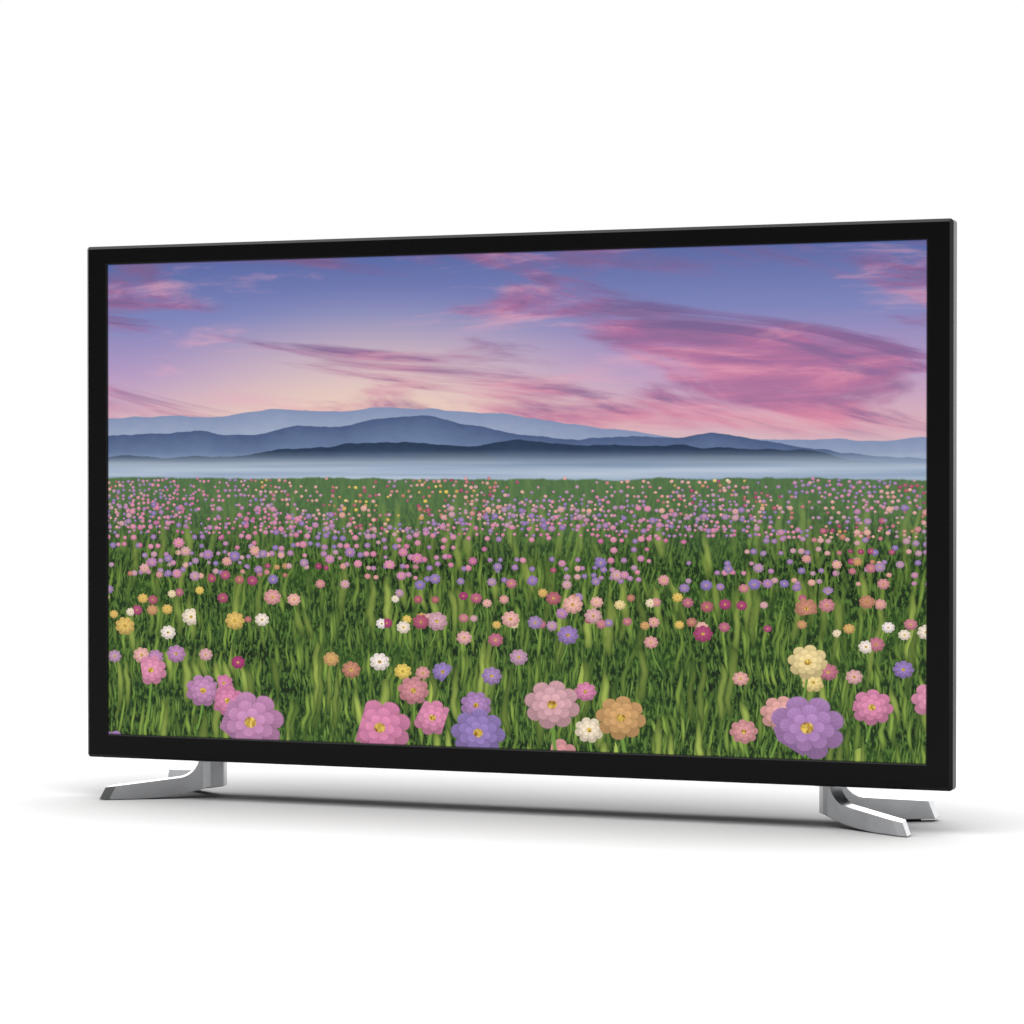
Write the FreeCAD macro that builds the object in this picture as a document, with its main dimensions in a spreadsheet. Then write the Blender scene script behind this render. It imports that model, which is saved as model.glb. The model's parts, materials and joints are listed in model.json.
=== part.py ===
import FreeCAD, Part
import math
import os
import types

import Sketcher

# A 32-inch class flat screen on two V-shaped feet. Millimetres, +Z up, front towards -Y.
# The origin is on the floor, midway between the feet's tips.

document = FreeCAD.newDocument("FlatScreen")

driving_sizes = {
    # front frame and picture
    "litWidth": 698.4,
    "litHeight": 392.85,
    "sideMargin": 20.0,
    "topMargin": 15.3,
    "bottomMargin": 19.6,
    "groundGap": 32.5,
    "frontSetback": 33.6,
    "bezelDepth": 13.6,
    "bezelWall": 2.0,
    "bezelLip": 1.6,
    "rimChamfer": 2.4,
    "rimRound": 0.8,
    "windowBevel": 1.0,
    "bezelCorner": 3.0,
    # panel and light
    "gasketThick": 0.5,
    "gasketWidth": 2.4,
    "gasketInset": 0.4,
    "cellThick": 1.4,
    "cellBorder": 3.0,
    "filmThick": 0.3,
    "plateThick": 1.5,
    "sheetBorder": 4.2,
    "pocketBorder": 4.6,
    "midFrameBorder": 7.2,
    "midFrameLedge": 0.8,
    "midFrameDepth": 6.0,
    "midFrameOpening": 1.0,
    "reflectorThick": 0.4,
    "backlightDepth": 14.2,
    "backlightSlope": 15.6,
    "reflectorEdge": 1.4,
    "trayEdge": 2.8,
    "trayThick": 0.8,
    "ledBarThick": 1.0,
    "ledBarHeight": 16.0,
    "ledBarInset": 16.4,
    "ledBarRise": 58.6,
    "lensInset": 32.0,
    "lensRadius": 8.0,
    "lensTop": 4.5,
    "lensHeight": 5.0,
    "lensHollow": 2.0,
    "lensGap": 0.5,
    "chipSide": 3.0,
    "chipThick": 0.8,
    "supportRadius": 4.0,
    "supportTip": 1.0,
    "supportStem": 1.5,
    "supportGap": 0.1,
    "supportShort": 0.2,
    # rear cover
    "coverGap": 0.3,
    "coverWall": 2.2,
    "coverInset": 0.2,
    "coverDepth": 66.0,
    "tierDepth": 26.0,
    "tierMargin": 9.3,
    "tierTaper": 8.5,
    "tierTop": 9.7,
    "tierTopTaper": 8.0,
    "tierRound": 4.0,
    "bulgeInset": 31.2,
    "bulgeTaper": 30.0,
    "bulgeLow": 8.0,
    "bulgeTop": 46.7,
    "bulgeOverMount": 35.0,
    "bulgeRound": 6.0,
    "bossRadius": 2.8,
    "bossGap": 0.1,
    "bossHole": 1.05,
    "bossFloor": 1.0,
    "sideScrewPitch": 150.0,
    "nearScrew": 119.0,
    "farScrew": 325.0,
    "screwRadius": 1.0,
    "screwHeadRadius": 2.2,
    "screwHeadHeight": 1.6,
    "screwHoleGap": 0.2,
    "coverScrewLength": 8.0,
    "crossWide": 0.6,
    "crossReach": 1.3,
    "crossDeep": 0.6,
    "ventLength": 26.0,
    "ventWidth": 2.6,
    "ventPitch": 30.0,
    "ventRowPitch": 9.0,
    "ventRise": 14.0,
    "slotWidth": 2.4,
    "slotLength": 22.0,
    "slotPitch": 9.0,
    # wall mount
    "mountPitch": 200.0,
    "mountRise": 161.0,
    "mountRadius": 8.0,
    "mountBore": 3.4,
    "mountBoreDepth": 26.0,
    "mountHoleGap": 0.8,
    "mountRecess": 0.4,
    # circuit boards
    "boardLift": 11.2,
    "boardThick": 1.6,
    "boardGap": 2.5,
    "boardWide": 138.0,
    "boardTall": 124.0,
    "standoffRadius": 3.0,
    "standoffInset": 6.0,
    "standoffFloor": 3.0,
    "boardScrewLength": 6.0,
    "bayInset": 26.0,
    "bayUnder": 1.0,
    "bayMargin": 5.0,
    "powerBayTall": 52.0,
    # parts on the boards
    "processorIn": 72.0,
    "processorRise": 8.0,
    "processorSide": 27.0,
    "processorThick": 2.2,
    "sinkSide": 42.0,
    "sinkBase": 2.0,
    "sinkFinPitch": 6.0,
    "sinkFinThick": 1.4,
    "sinkFinTall": 9.6,
    "memoryIn": 110.0,
    "memoryPitch": 18.0,
    "memoryWide": 9.0,
    "memoryTall": 13.0,
    "memoryThick": 1.2,
    "transformerIn": 95.0,
    "transformerRise": 18.0,
    "coreWide": 36.0,
    "coreTall": 28.0,
    "coreDeep": 20.0,
    "windingWide": 24.0,
    "windingTall": 40.0,
    "windingDeep": 15.0,
    "windingLift": 2.5,
    "capacitorRadius": 9.0,
    "capacitorDeep": 22.0,
    "capacitorIn": 40.0,
    "capacitorPitch": 22.0,
    "filterIn": 62.0,
    "filterDrop": 34.0,
    "railIn": 62.0,
    "railThick": 2.4,
    "railTall": 56.0,
    "railDeep": 21.0,
    "railFinLength": 4.8,
    "railFinThick": 2.0,
    "railFinPitch": 13.4,
    "wifiAside": 40.0,
    "wifiRise": 60.0,
    "wifiWide": 32.0,
    "wifiTall": 16.0,
    "wifiThick": 1.2,
    "wifiCanDeep": 2.0,
    "wifiCanWide": 18.0,
    "wifiCanInset": 2.0,
    "eyeBoardWide": 42.0,
    "eyeBoardTall": 5.8,
    "eyeBoardThick": 1.0,
    "eyeWide": 6.0,
    "eyeDeep": 3.4,
    "eyeGap": 0.4,
    # sockets
    "socketWall": 0.5,
    "socketProud": 0.6,
    "socketGap": 0.3,
    "socketBack": 1.5,
    "tongueThick": 1.8,
    "tongueInset": 2.0,
    "usbRise": 45.5,
    "usbTall": 14.4,
    "usbDeep": 7.2,
    "usbLength": 15.0,
    "hdmiRise": 16.0,
    "hdmiPitch": 24.0,
    "hdmiTall": 15.4,
    "hdmiDeep": 6.4,
    "hdmiLength": 12.0,
    "lanDrop": 22.0,
    "lanTall": 16.4,
    "lanDeep": 14.0,
    "lanLength": 17.0,
    "tunerDrop": 42.5,
    "tunerTall": 18.0,
    "tunerDeep": 16.0,
    "tunerLength": 34.0,
    "aerialRadius": 4.7,
    "aerialLength": 11.0,
    "aerialBore": 0.6,
    "aerialBoreDepth": 7.0,
    "inletTall": 22.0,
    "inletDeep": 12.0,
    "inletLength": 21.0,
    "inletWall": 2.0,
    "inletEndWall": 4.0,
    "inletMouthDepth": 15.0,
    "inletPinRadius": 1.2,
    "inletPinPitch": 8.6,
    "inletPinLength": 12.0,
    # speakers
    "speakerClear": 21.2,
    "speakerWide": 92.0,
    "speakerTall": 33.0,
    "speakerGap": 5.2,
    "speakerBackGap": 3.8,
    "speakerSeat": 0.4,
    "speakerWall": 2.0,
    "speakerHole": 13.0,
    "driverRim": 0.8,
    "driverRimThick": 1.2,
    "driverBowlDeep": 10.0,
    "driverNeck": 6.0,
    "magnetRadius": 9.0,
    "magnetDeep": 7.0,
    "coneWall": 1.0,
    "coneDeep": 7.8,
    # leads
    "supplyLead": 1.8,
    "lampLead": 1.2,
    "speakerLead": 0.9,
    "leadInset": 14.0,
    "supplyArch": 13.0,
    "supplySwell": 2.0,
    "supplyReach": 20.0,
    "supplySag": 6.0,
    "supplySwing": 8.0,
    "lampLeadRise": 12.0,
    "lampLeadArch": 9.0,
    "lampLeadTurn": 8.0,
    "lampLeadStep": 4.0,
    "lampLeadReach": 32.0,
    "lampLeadDrop": 4.0,
    "speakerLeadAside": 30.0,
    "speakerLeadRise": 9.0,
    "speakerLeadTurn": 18.0,
    "speakerLeadBend": 14.0,
    "speakerLeadIn": 8.0,
    "speakerLeadOver": 8.0,
    "speakerLeadArch": 9.0,
    "ribbonWide": 16.0,
    "ribbonThick": 0.4,
    "ribbonReach": 45.0,
    "ribbonAside": 33.0,
    # panel driver board
    "panelBoardWide": 300.0,
    "panelBoardTall": 16.0,
    "panelBoardThick": 1.2,
    "panelBoardRise": 15.4,
    "flexWide": 52.0,
    "flexThick": 0.3,
    "flexDrop": 5.3,
    "flexLap": 4.0,
    "flexSink": 0.5,
    "flexPitch": 76.5,
    # feet
    "footInset": 104.0,
    "noseSetback": 18.6,
    "noseCornerIn": 8.2,
    "noseCornerBack": 14.9,
    "noseBackIn": 3.2,
    "noseBackBack": 29.7,
    "noseReach": 3.0,
    "frontArmTurn": 31.9,
    "rearArmTurn": 31.4,
    "bladeThick": 12.0,
    "heelHeight": 8.8,
    "frontArmLength": 90.2,
    "frontArmFlat": 60.0,
    "frontTipHeight": 10.4,
    "frontTipLean": 5.2,
    "frontTopTurn": 6.4,
    "frontPostSide": 6.0,
    "frontSole": 0.6,
    "rearArmLength": 88.1,
    "rearArmFlat": 47.2,
    "rearTipHeight": 15.5,
    "rearTipLean": 5.3,
    "rearTopTurn": 4.1,
    "rearPostSide": 6.2,
    "rearSole": 2.2,
    "postRound": 19.0,
    "tipBevel": 2.0,
    "tipBevelLong": 8.0,
    "noseBevel": 3.4,
    "noseRound": 3.0,
    "postGap": 0.6,
    "capOverlap": 1.0,
    "capIn": 6.7,
    "capWide": 16.5,
    "capSetback": 1.4,
    "capDeep": 32.0,
    "footPlateIn": 24.0,
    "footPlateWide": 52.0,
    "footPlateThick": 4.0,
    "tenonIn": 2.2,
    "tenonWide": 16.0,
    "tenonSetback": 11.4,
    "tenonDeep": 10.0,
    "tenonTall": 22.0,
    "tenonGap": 0.4,
    "padLength": 20.0,
    "padWide": 6.0,
    "padStart": 3.0,
    "bracketThick": 3.0,
    "bracketTall": 56.0,
    "bracketProud": 1.0,
    "bracketRibInset": 10.0,
    "bracketRibShort": 4.0,
    "bracketRibOver": 6.0,
    "footScrewInset": 5.5,
    "footScrewBehind": 4.0,
    "footScrewRadius": 2.0,
    "footScrewGap": 0.2,
    "footThreadGap": 0.05,
    "footScrewHead": 3.6,
    "footScrewHeadTall": 2.2,
    "footScrewSocket": 1.6,
    "footScrewSocketDeep": 1.2,
    "footScrewLength": 14.0,
    # control stick at the back
    "stickAside": 175.0,
    "stickRise": 68.0,
    "stickHole": 8.8,
    "housingSide": 26.0,
    "housingBore": 9.6,
    "housingDeep": 12.6,
    "pinSkin": 1.0,
    "pinEndGap": 0.4,
    "pivotIn": 9.0,
    "ringOuter": 8.4,
    "ringInner": 6.0,
    "ringThick": 3.0,
    "pinRadius": 1.2,
    "pinGap": 0.05,
    "hubRadius": 4.4,
    "hubThick": 4.0,
    "hubPinShort": 0.6,
    "stemRadius": 2.0,
    "stemIn": 1.5,
    "tailRadius": 1.5,
    "tailLength": 0.4,
    "capRadius": 6.5,
    "capProud": 2.0,
    "capSkirt": 7.0,
    "capSkin": 1.8,
    "capRound": 1.4,
    "stickBoardThick": 1.6,
    "switchSide": 6.0,
    "switchTall": 3.0,
}

sheet = document.addObject("Spreadsheet::Sheet", "dims")
for row, (word, number) in enumerate(driving_sizes.items(), 1):
    sheet.set(f"A{row}", word)
    sheet.set(f"B{row}", str(number))
    sheet.setAlias(f"B{row}", word)
document.recompute()


class Size:
    """A length or an angle, with the sheet formula that gives it."""

    def __init__(self, value, formula):
        self.value = value
        self.formula = formula

    def __add__(self, other):
        return Size(self.value + value_of(other), f"({self.formula} + {formula_of(other)})")

    def __radd__(self, other):
        return Size(value_of(other) + self.value, f"({formula_of(other)} + {self.formula})")

    def __sub__(self, other):
        return Size(self.value - value_of(other), f"({self.formula} - {formula_of(other)})")

    def __rsub__(self, other):
        return Size(value_of(other) - self.value, f"({formula_of(other)} - {self.formula})")

    def __mul__(self, other):
        return Size(self.value * value_of(other), f"({self.formula} * {formula_of(other)})")

    def __rmul__(self, other):
        return Size(value_of(other) * self.value, f"({formula_of(other)} * {self.formula})")

    def __truediv__(self, other):
        return Size(self.value / value_of(other), f"({self.formula} / {formula_of(other)})")

    def __neg__(self):
        return Size(-self.value, f"(-1 * {self.formula})")


def value_of(amount):
    return amount.value if isinstance(amount, Size) else float(amount)


def formula_of(amount):
    return amount.formula if isinstance(amount, Size) else repr(float(amount))


def sine(degrees):
    return Size(math.sin(math.radians(degrees.value)), f"sin({degrees.formula} * 1 deg)")


def cosine(degrees):
    return Size(math.cos(math.radians(degrees.value)), f"cos({degrees.formula} * 1 deg)")


def square_root(amount):
    return Size(math.sqrt(amount.value), f"sqrt({amount.formula})")


size = types.SimpleNamespace(**{word: Size(number, f"dims.{word}") for word, number in driving_sizes.items()})
nodes = []


def node(label, thing):
    """Names a finished piece; its label names its file."""
    thing.Label = label
    nodes.append(thing)
    return thing


def bind(thing, prop, amount):
    thing.setExpression(prop, formula_of(amount))


def place(thing, x, y, z):
    for axis, amount in zip("xyz", (x, y, z)):
        bind(thing, f"Placement.Base.{axis}", amount)


def box(name, x, y, z):
    """A block between a low and a high value on each axis."""
    thing = document.addObject("Part::Box", name)
    for prop, (low, high) in zip(("Length", "Width", "Height"), (x, y, z)):
        bind(thing, prop, high - low)
    place(thing, x[0], y[0], z[0])
    return thing


turned = {
    "x": FreeCAD.Rotation(FreeCAD.Vector(0, 1, 0), 90),
    "y": FreeCAD.Rotation(FreeCAD.Vector(1, 0, 0), -90),
    "z": FreeCAD.Rotation(),
}


def rod(name, along, radius, start, length):
    """A cylinder from start, growing along +X, +Y or +Z."""
    thing = document.addObject("Part::Cylinder", name)
    thing.Placement = FreeCAD.Placement(FreeCAD.Vector(), turned[along])
    bind(thing, "Radius", radius)
    bind(thing, "Height", length)
    place(thing, *start)
    return thing


def cone(name, along, low_radius, high_radius, start, length):
    thing = document.addObject("Part::Cone", name)
    thing.Placement = FreeCAD.Placement(FreeCAD.Vector(), turned[along])
    bind(thing, "Radius1", low_radius)
    bind(thing, "Radius2", high_radius)
    bind(thing, "Height", length)
    place(thing, *start)
    return thing


def tapered(name, y, front, back):
    """A block from y[0] to y[1] whose front and back faces are (x low, x high, z low, z high)."""
    thing = document.addObject("Part::Wedge", name)
    bind(thing, "Ymin", y[0])
    bind(thing, "Ymax", y[1])
    for prop, amount in zip(("Xmin", "Xmax", "Zmin", "Zmax"), front):
        bind(thing, prop, amount)
    for prop, amount in zip(("X2min", "X2max", "Z2min", "Z2max"), back):
        bind(thing, prop, amount)
    return thing


def group(name, pieces):
    """Separate solids that share one node."""
    thing = document.addObject("Part::Compound", name)
    thing.Links = pieces
    return thing


def joined(name, pieces):
    thing = document.addObject("Part::MultiFuse", name)
    thing.Shapes = pieces
    thing.Refine = True
    return thing


def cut(name, base, tools):
    thing = document.addObject("Part::Cut", name)
    thing.Base = base
    thing.Tool = tools[0] if len(tools) == 1 else group(f"{name}_tools", tools)
    return thing


def rounded(name, base, radius, chosen):
    """Rounds the edges that the chosen test picks."""
    document.recompute()
    thing = document.addObject("Part::Fillet", name)
    thing.Base = base
    picked = [place_in_list for place_in_list, edge in enumerate(base.Shape.Edges, 1) if chosen(edge)]
    thing.Edges = [(index, radius.value, radius.value) for index in picked]
    return thing


def mirrored(name, source):
    """The same piece on the other side of the middle."""
    thing = document.addObject("Part::Mirroring", name)
    thing.Source = source
    thing.Base = FreeCAD.Vector(0, 0, 0)
    thing.Normal = FreeCAD.Vector(1, 0, 0)
    return thing


def span(side, near, far):
    """The low and high X of a piece between two distances from the middle, on one side of it."""
    return (near * side, far * side) if side > 0 else (far * side, near * side)


def frame(name, y, outer, inner):
    """A flat ring between two rectangles (x low, x high, z low, z high)."""
    whole = box(f"{name}_outer", outer[:2], y, outer[2:])
    hole = box(f"{name}_inner", inner[:2], (y[0] - past, y[1] + past), inner[2:])
    return cut(name, whole, [hole])


# Sketches and features of the pieces that are made as bodies.


def origin_plane(body, role):
    return next(feature for feature in body.Origin.OriginFeatures if feature.Role == role)


def new_sketch(body, name, role, offset, turn=None):
    """A sketch on an origin plane. offset is in the plane's own directions, turn is about its second one."""
    thing = body.newObject("Sketcher::SketchObject", name)
    thing.AttachmentSupport = [(origin_plane(body, role), "")]
    thing.MapMode = "FlatFace"
    if turn is not None:
        thing.AttachmentOffset = FreeCAD.Placement(
            FreeCAD.Vector(), FreeCAD.Rotation(FreeCAD.Vector(0, 1, 0), turn.value)
        )
        bind(thing, "AttachmentOffset.Rotation.Angle", turn)
    for axis, amount in zip("xyz", offset):
        bind(thing, f"AttachmentOffset.Base.{axis}", amount)
    return thing


def fix(sketch, kind, amount, *points):
    """One dimension of a sketch, bound to the sheet."""
    number = sketch.addConstraint(Sketcher.Constraint(kind, *points, value_of(amount)))
    sketch.setExpression(f"Constraints[{number}]", formula_of(amount))


# How a sketch names its origin, and counts the points of a curve.
sketch_origin = (-1, 1)
whole_curve, start_point, end_point, centre_point = range(4)


def outline(sketch, points, arcs=None):
    """A closed outline. arcs gives centre, radius and whether it runs anticlockwise, by its first point."""
    arcs = arcs or {}
    spots = [FreeCAD.Vector(value_of(u), value_of(v), 0) for u, v in points]
    ends = []
    for index, spot in enumerate(spots):
        following = spots[(index + 1) % len(spots)]
        if index not in arcs:
            sketch.addGeometry(Part.LineSegment(spot, following), False)
            ends.append((start_point, end_point))
            continue
        (centre_u, centre_v), radius, anticlockwise = arcs[index]
        centre = FreeCAD.Vector(value_of(centre_u), value_of(centre_v), 0)
        first, last = (spot, following) if anticlockwise else (following, spot)
        angles = [math.atan2(point.y - centre.y, point.x - centre.x) for point in (first, last)]
        if angles[1] < angles[0]:
            angles[1] += 2 * math.pi
        circle = Part.Circle(centre, FreeCAD.Vector(0, 0, 1), value_of(radius))
        sketch.addGeometry(Part.ArcOfCircle(circle, *angles), False)
        ends.append((start_point, end_point) if anticlockwise else (end_point, start_point))
    count = len(spots)
    for index in range(count):
        following = (index + 1) % count
        sketch.addConstraint(
            Sketcher.Constraint("Coincident", index, ends[index][1], following, ends[following][0])
        )
    for index, (u, v) in enumerate(points):
        curve, end = (index, 0) if index not in arcs else ((index - 1) % count, 1)
        fix(sketch, "DistanceX", u, *sketch_origin, curve, ends[curve][end])
        fix(sketch, "DistanceY", v, *sketch_origin, curve, ends[curve][end])
    for index, (_, radius, _) in arcs.items():
        fix(sketch, "Radius", radius, index)


def rectangle(sketch, low_u, high_u, low_v, high_v):
    outline(sketch, [(low_u, low_v), (high_u, low_v), (high_u, high_v), (low_u, high_v)])


def circles(sketch, centres, radius):
    for index, (u, v) in enumerate(centres):
        middle = FreeCAD.Vector(value_of(u), value_of(v), 0)
        sketch.addGeometry(Part.Circle(middle, FreeCAD.Vector(0, 0, 1), value_of(radius)), False)
        fix(sketch, "DistanceX", u, *sketch_origin, index, centre_point)
        fix(sketch, "DistanceY", v, *sketch_origin, index, centre_point)
        fix(sketch, "Radius", radius, index)


def pad(body, name, sketch, length, reverse=False):
    thing = body.newObject("PartDesign::Pad", name)
    thing.Profile = sketch
    thing.Reversed = reverse
    bind(thing, "Length", length)
    return thing


def pocket(body, name, sketch, length, reverse=False):
    """Cuts a sketch's outline away, and stops the build if nothing was cut."""
    document.recompute()
    before = body.Shape.Volume
    thing = body.newObject("PartDesign::Pocket", name)
    thing.Profile = sketch
    thing.Reversed = reverse
    bind(thing, "Length", length)
    document.recompute()
    if body.Shape.Volume >= before - 1e-6:
        raise RuntimeError(f"{name} cuts nothing")
    return thing


def edge_names(body, chosen):
    return [f"Edge{index}" for index, edge in enumerate(body.Shape.Edges, 1) if chosen(edge)]


def round_edges(body, name, radius, chosen):
    document.recompute()
    names = edge_names(body, chosen)
    base = body.Tip
    thing = body.newObject("PartDesign::Fillet", name)
    thing.Base = (base, names)
    bind(thing, "Radius", radius)
    return thing


def bevel_edges(body, name, width, chosen):
    document.recompute()
    names = edge_names(body, chosen)
    base = body.Tip
    thing = body.newObject("PartDesign::Chamfer", name)
    thing.Base = (base, names)
    bind(thing, "Size", width)
    return thing


# Places that several pieces share.

front = -size.frontSetback
half_lit = size.litWidth / 2
lit_low = size.groundGap + size.bottomMargin
lit_high = lit_low + size.litHeight
lit_middle = lit_low + size.litHeight / 2
half_wide = half_lit + size.sideMargin
frame_low = size.groundGap
frame_high = lit_high + size.topMargin
lip_back = front + size.bezelLip
cell_front = lip_back + size.gasketThick
cell_back = cell_front + size.cellThick
sheet_front = cell_back + size.midFrameLedge
plate_front = sheet_front + 2 * size.filmThick
reflector_front = plate_front + size.plateThick
tray_front = reflector_front + size.reflectorThick
bar_front = tray_front + size.backlightDepth
tray_floor = bar_front + size.ledBarThick
tray_back = tray_floor + size.trayThick
board_front = tray_back + size.boardLift
board_back = board_front + size.boardThick
cover_plate_back = front + size.bezelDepth - size.coverInset
cover_plate_front = cover_plate_back - size.coverWall
cover_back = front + size.coverDepth
tier_back = front + size.tierDepth
cover_inside = cover_back - size.coverWall
bulge_low = frame_low + size.bulgeLow
bulge_floor = bulge_low + size.coverWall
mount_middle = frame_low + size.mountRise
mount_low = mount_middle - size.mountPitch / 2
mount_high = mount_middle + size.mountPitch / 2
bulge_wide = half_lit - size.bulgeInset
bay_wall = bulge_wide - size.bulgeTaper - size.bayInset
board_edge = bay_wall - size.boardGap
board_inner = board_edge - size.boardWide
board_low = mount_middle - size.boardTall / 2
board_high = board_low + size.boardTall
sides = ((-1, "left"), (1, "right"))

# How far a cutting form runs past what it cuts, and how far joined forms share.
past = 1.0


def around_picture(border):
    """A rectangle that lies outside the picture by a border."""
    return -(half_lit + border), half_lit + border, lit_low - border, lit_high + border


def on_front_edge(edge):
    box_of = edge.BoundBox
    return abs(box_of.YMin - front.value) < 1e-4 and abs(box_of.YMax - front.value) < 1e-4


def beyond_picture(edge, by):
    """True where an edge's middle lies outside the picture by more than a distance."""
    middle = edge.BoundBox.Center
    return (
        abs(middle.x) > half_lit.value + by
        or middle.z > lit_high.value + by
        or middle.z < lit_low.value - by
    )


# Screw places in the border, shared by the frame's bosses, the cover's holes and the screws.

inner_side = half_wide - size.bezelWall
inner_top = frame_high - size.bezelWall
inner_low = frame_low + size.bezelWall
boss_in = size.bossRadius + size.bossGap
screw_places = []
for side, word in sides:
    screw_places += [
        (side * (inner_side - boss_in), lit_middle + step * size.sideScrewPitch) for step in (-1, 0, 1)
    ]
    for aside in (size.nearScrew, size.farScrew):
        screw_places += [(side * aside, inner_top - boss_in), (side * aside, inner_low + boss_in)]


def front_bezel():
    body = document.addObject("PartDesign::Body", "FrontBezel")
    outer = new_sketch(body, "bezel_outer", "XZ_Plane", (0, 0, -front))
    rectangle(outer, -half_wide, half_wide, frame_low, frame_high)
    pad(body, "bezel_block", outer, size.bezelDepth, True)
    cavity = new_sketch(body, "bezel_cavity", "XZ_Plane", (0, 0, -lip_back))
    rectangle(cavity, -inner_side, inner_side, inner_low, inner_top)
    pocket(body, "bezel_hollow", cavity, size.bezelDepth, False)
    window = new_sketch(body, "bezel_window", "XZ_Plane", (0, 0, -front))
    rectangle(window, -half_lit, half_lit, lit_low, lit_high)
    pocket(body, "bezel_opening", window, size.bezelLip * 2, False)
    bosses = new_sketch(body, "bezel_boss_places", "XZ_Plane", (0, 0, -lip_back))
    circles(bosses, screw_places, size.bossRadius)
    pad(body, "bezel_bosses", bosses, cover_plate_front - lip_back, True)
    holes = new_sketch(body, "bezel_boss_holes", "XZ_Plane", (0, 0, -(lip_back + size.bossFloor)))
    circles(holes, screw_places, size.bossHole)
    pocket(body, "bezel_screw_holes", holes, size.bezelDepth, False)
    round_edges(body, "bezel_corners", size.bezelCorner, lambda edge: (
        edge.BoundBox.YLength > size.bezelDepth.value - 0.01
        and abs(abs(edge.BoundBox.Center.x) - half_wide.value) < 1e-3
    ))
    bevel_edges(body, "bezel_rim", size.rimChamfer, lambda edge: (
        on_front_edge(edge) and beyond_picture(edge, size.rimChamfer.value)
    ))
    bevel_edges(body, "bezel_window_bevel", size.windowBevel, lambda edge: (
        on_front_edge(edge) and not beyond_picture(edge, size.windowBevel.value)
    ))
    back = (front + size.bezelDepth).value
    round_edges(body, "bezel_back_edge", size.rimRound, lambda edge: (
        abs(edge.BoundBox.YMin - back) < 1e-4
        and (
            abs(edge.BoundBox.Center.x) > (half_wide - size.rimRound).value
            or edge.BoundBox.Center.z > (frame_high - size.rimRound).value
            or edge.BoundBox.Center.z < (frame_low + size.rimRound).value
        )
    ))
    node("front_bezel", body)


def panel():
    node("panel_gasket", frame(
        "PanelGasket", (lip_back, cell_front),
        around_picture(size.gasketWidth), around_picture(size.gasketInset),
    ))
    cell = around_picture(size.cellBorder)
    node("lcd_cell", box("LcdCell", cell[:2], (cell_front, cell_back), cell[2:]))
    ring = around_picture(size.midFrameBorder)
    whole = box("mid_whole", ring[:2], (cell_back, cell_back + size.midFrameDepth), ring[2:])
    opening = around_picture(size.midFrameOpening)
    hole = box("mid_hole", opening[:2], (cell_back - past, sheet_front + past), opening[2:])
    seat = around_picture(size.pocketBorder)
    back = cell_back + size.midFrameDepth + past
    rest = box("mid_seat", seat[:2], (sheet_front, back), seat[2:])
    node("mid_frame", cut("MidFrame", whole, [joined("mid_openings", [hole, rest])]))
    sheet_place = around_picture(size.sheetBorder)
    layers = (
        ("prism_sheet", "PrismSheet", sheet_front, size.filmThick),
        ("diffuser_sheet", "DiffuserSheet", sheet_front + size.filmThick, size.filmThick),
        ("diffuser_plate", "DiffuserPlate", plate_front, size.plateThick),
    )
    for label, name, start, thick in layers:
        node(label, box(name, sheet_place[:2], (start, start + thick), sheet_place[2:]))


# The backlight: a white film in a steel tray, with three strips of lamps under lenses.

floor_inset = size.backlightSlope - size.trayEdge
bar_half = half_lit - floor_inset - size.ledBarInset
bar_pitch = size.litHeight / 2 - floor_inset - size.ledBarRise
lamp_pitch = (bar_half - size.lensInset) / 3
bar_heights = [lit_middle + step * bar_pitch for step in (-1, 0, 1)]
lamp_places = [(step * lamp_pitch, height) for height in bar_heights for step in range(-3, 4)]
support_places = [
    (step * lamp_pitch, lit_middle + rise * bar_pitch) for step in (-2.5, 0, 2.5) for rise in (-0.5, 0.5)
]


def shell(name, start, thick, edge, depth):
    """A tray's sloping walls and floor, with a narrow flange at its mouth."""
    mouth = around_picture(edge)
    floor = around_picture(edge - size.backlightSlope)
    outer = tapered(f"{name}_outer", (start + thick, start + thick + depth), mouth, floor)
    inner = tapered(f"{name}_inner", (start, start + depth), mouth, floor)
    flange = around_picture(size.sheetBorder)
    lip = box(f"{name}_flange", flange[:2], (start, start + thick), flange[2:])
    return cut(f"{name}_shell", joined(f"{name}_solid", [outer, lip]), [inner])


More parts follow.
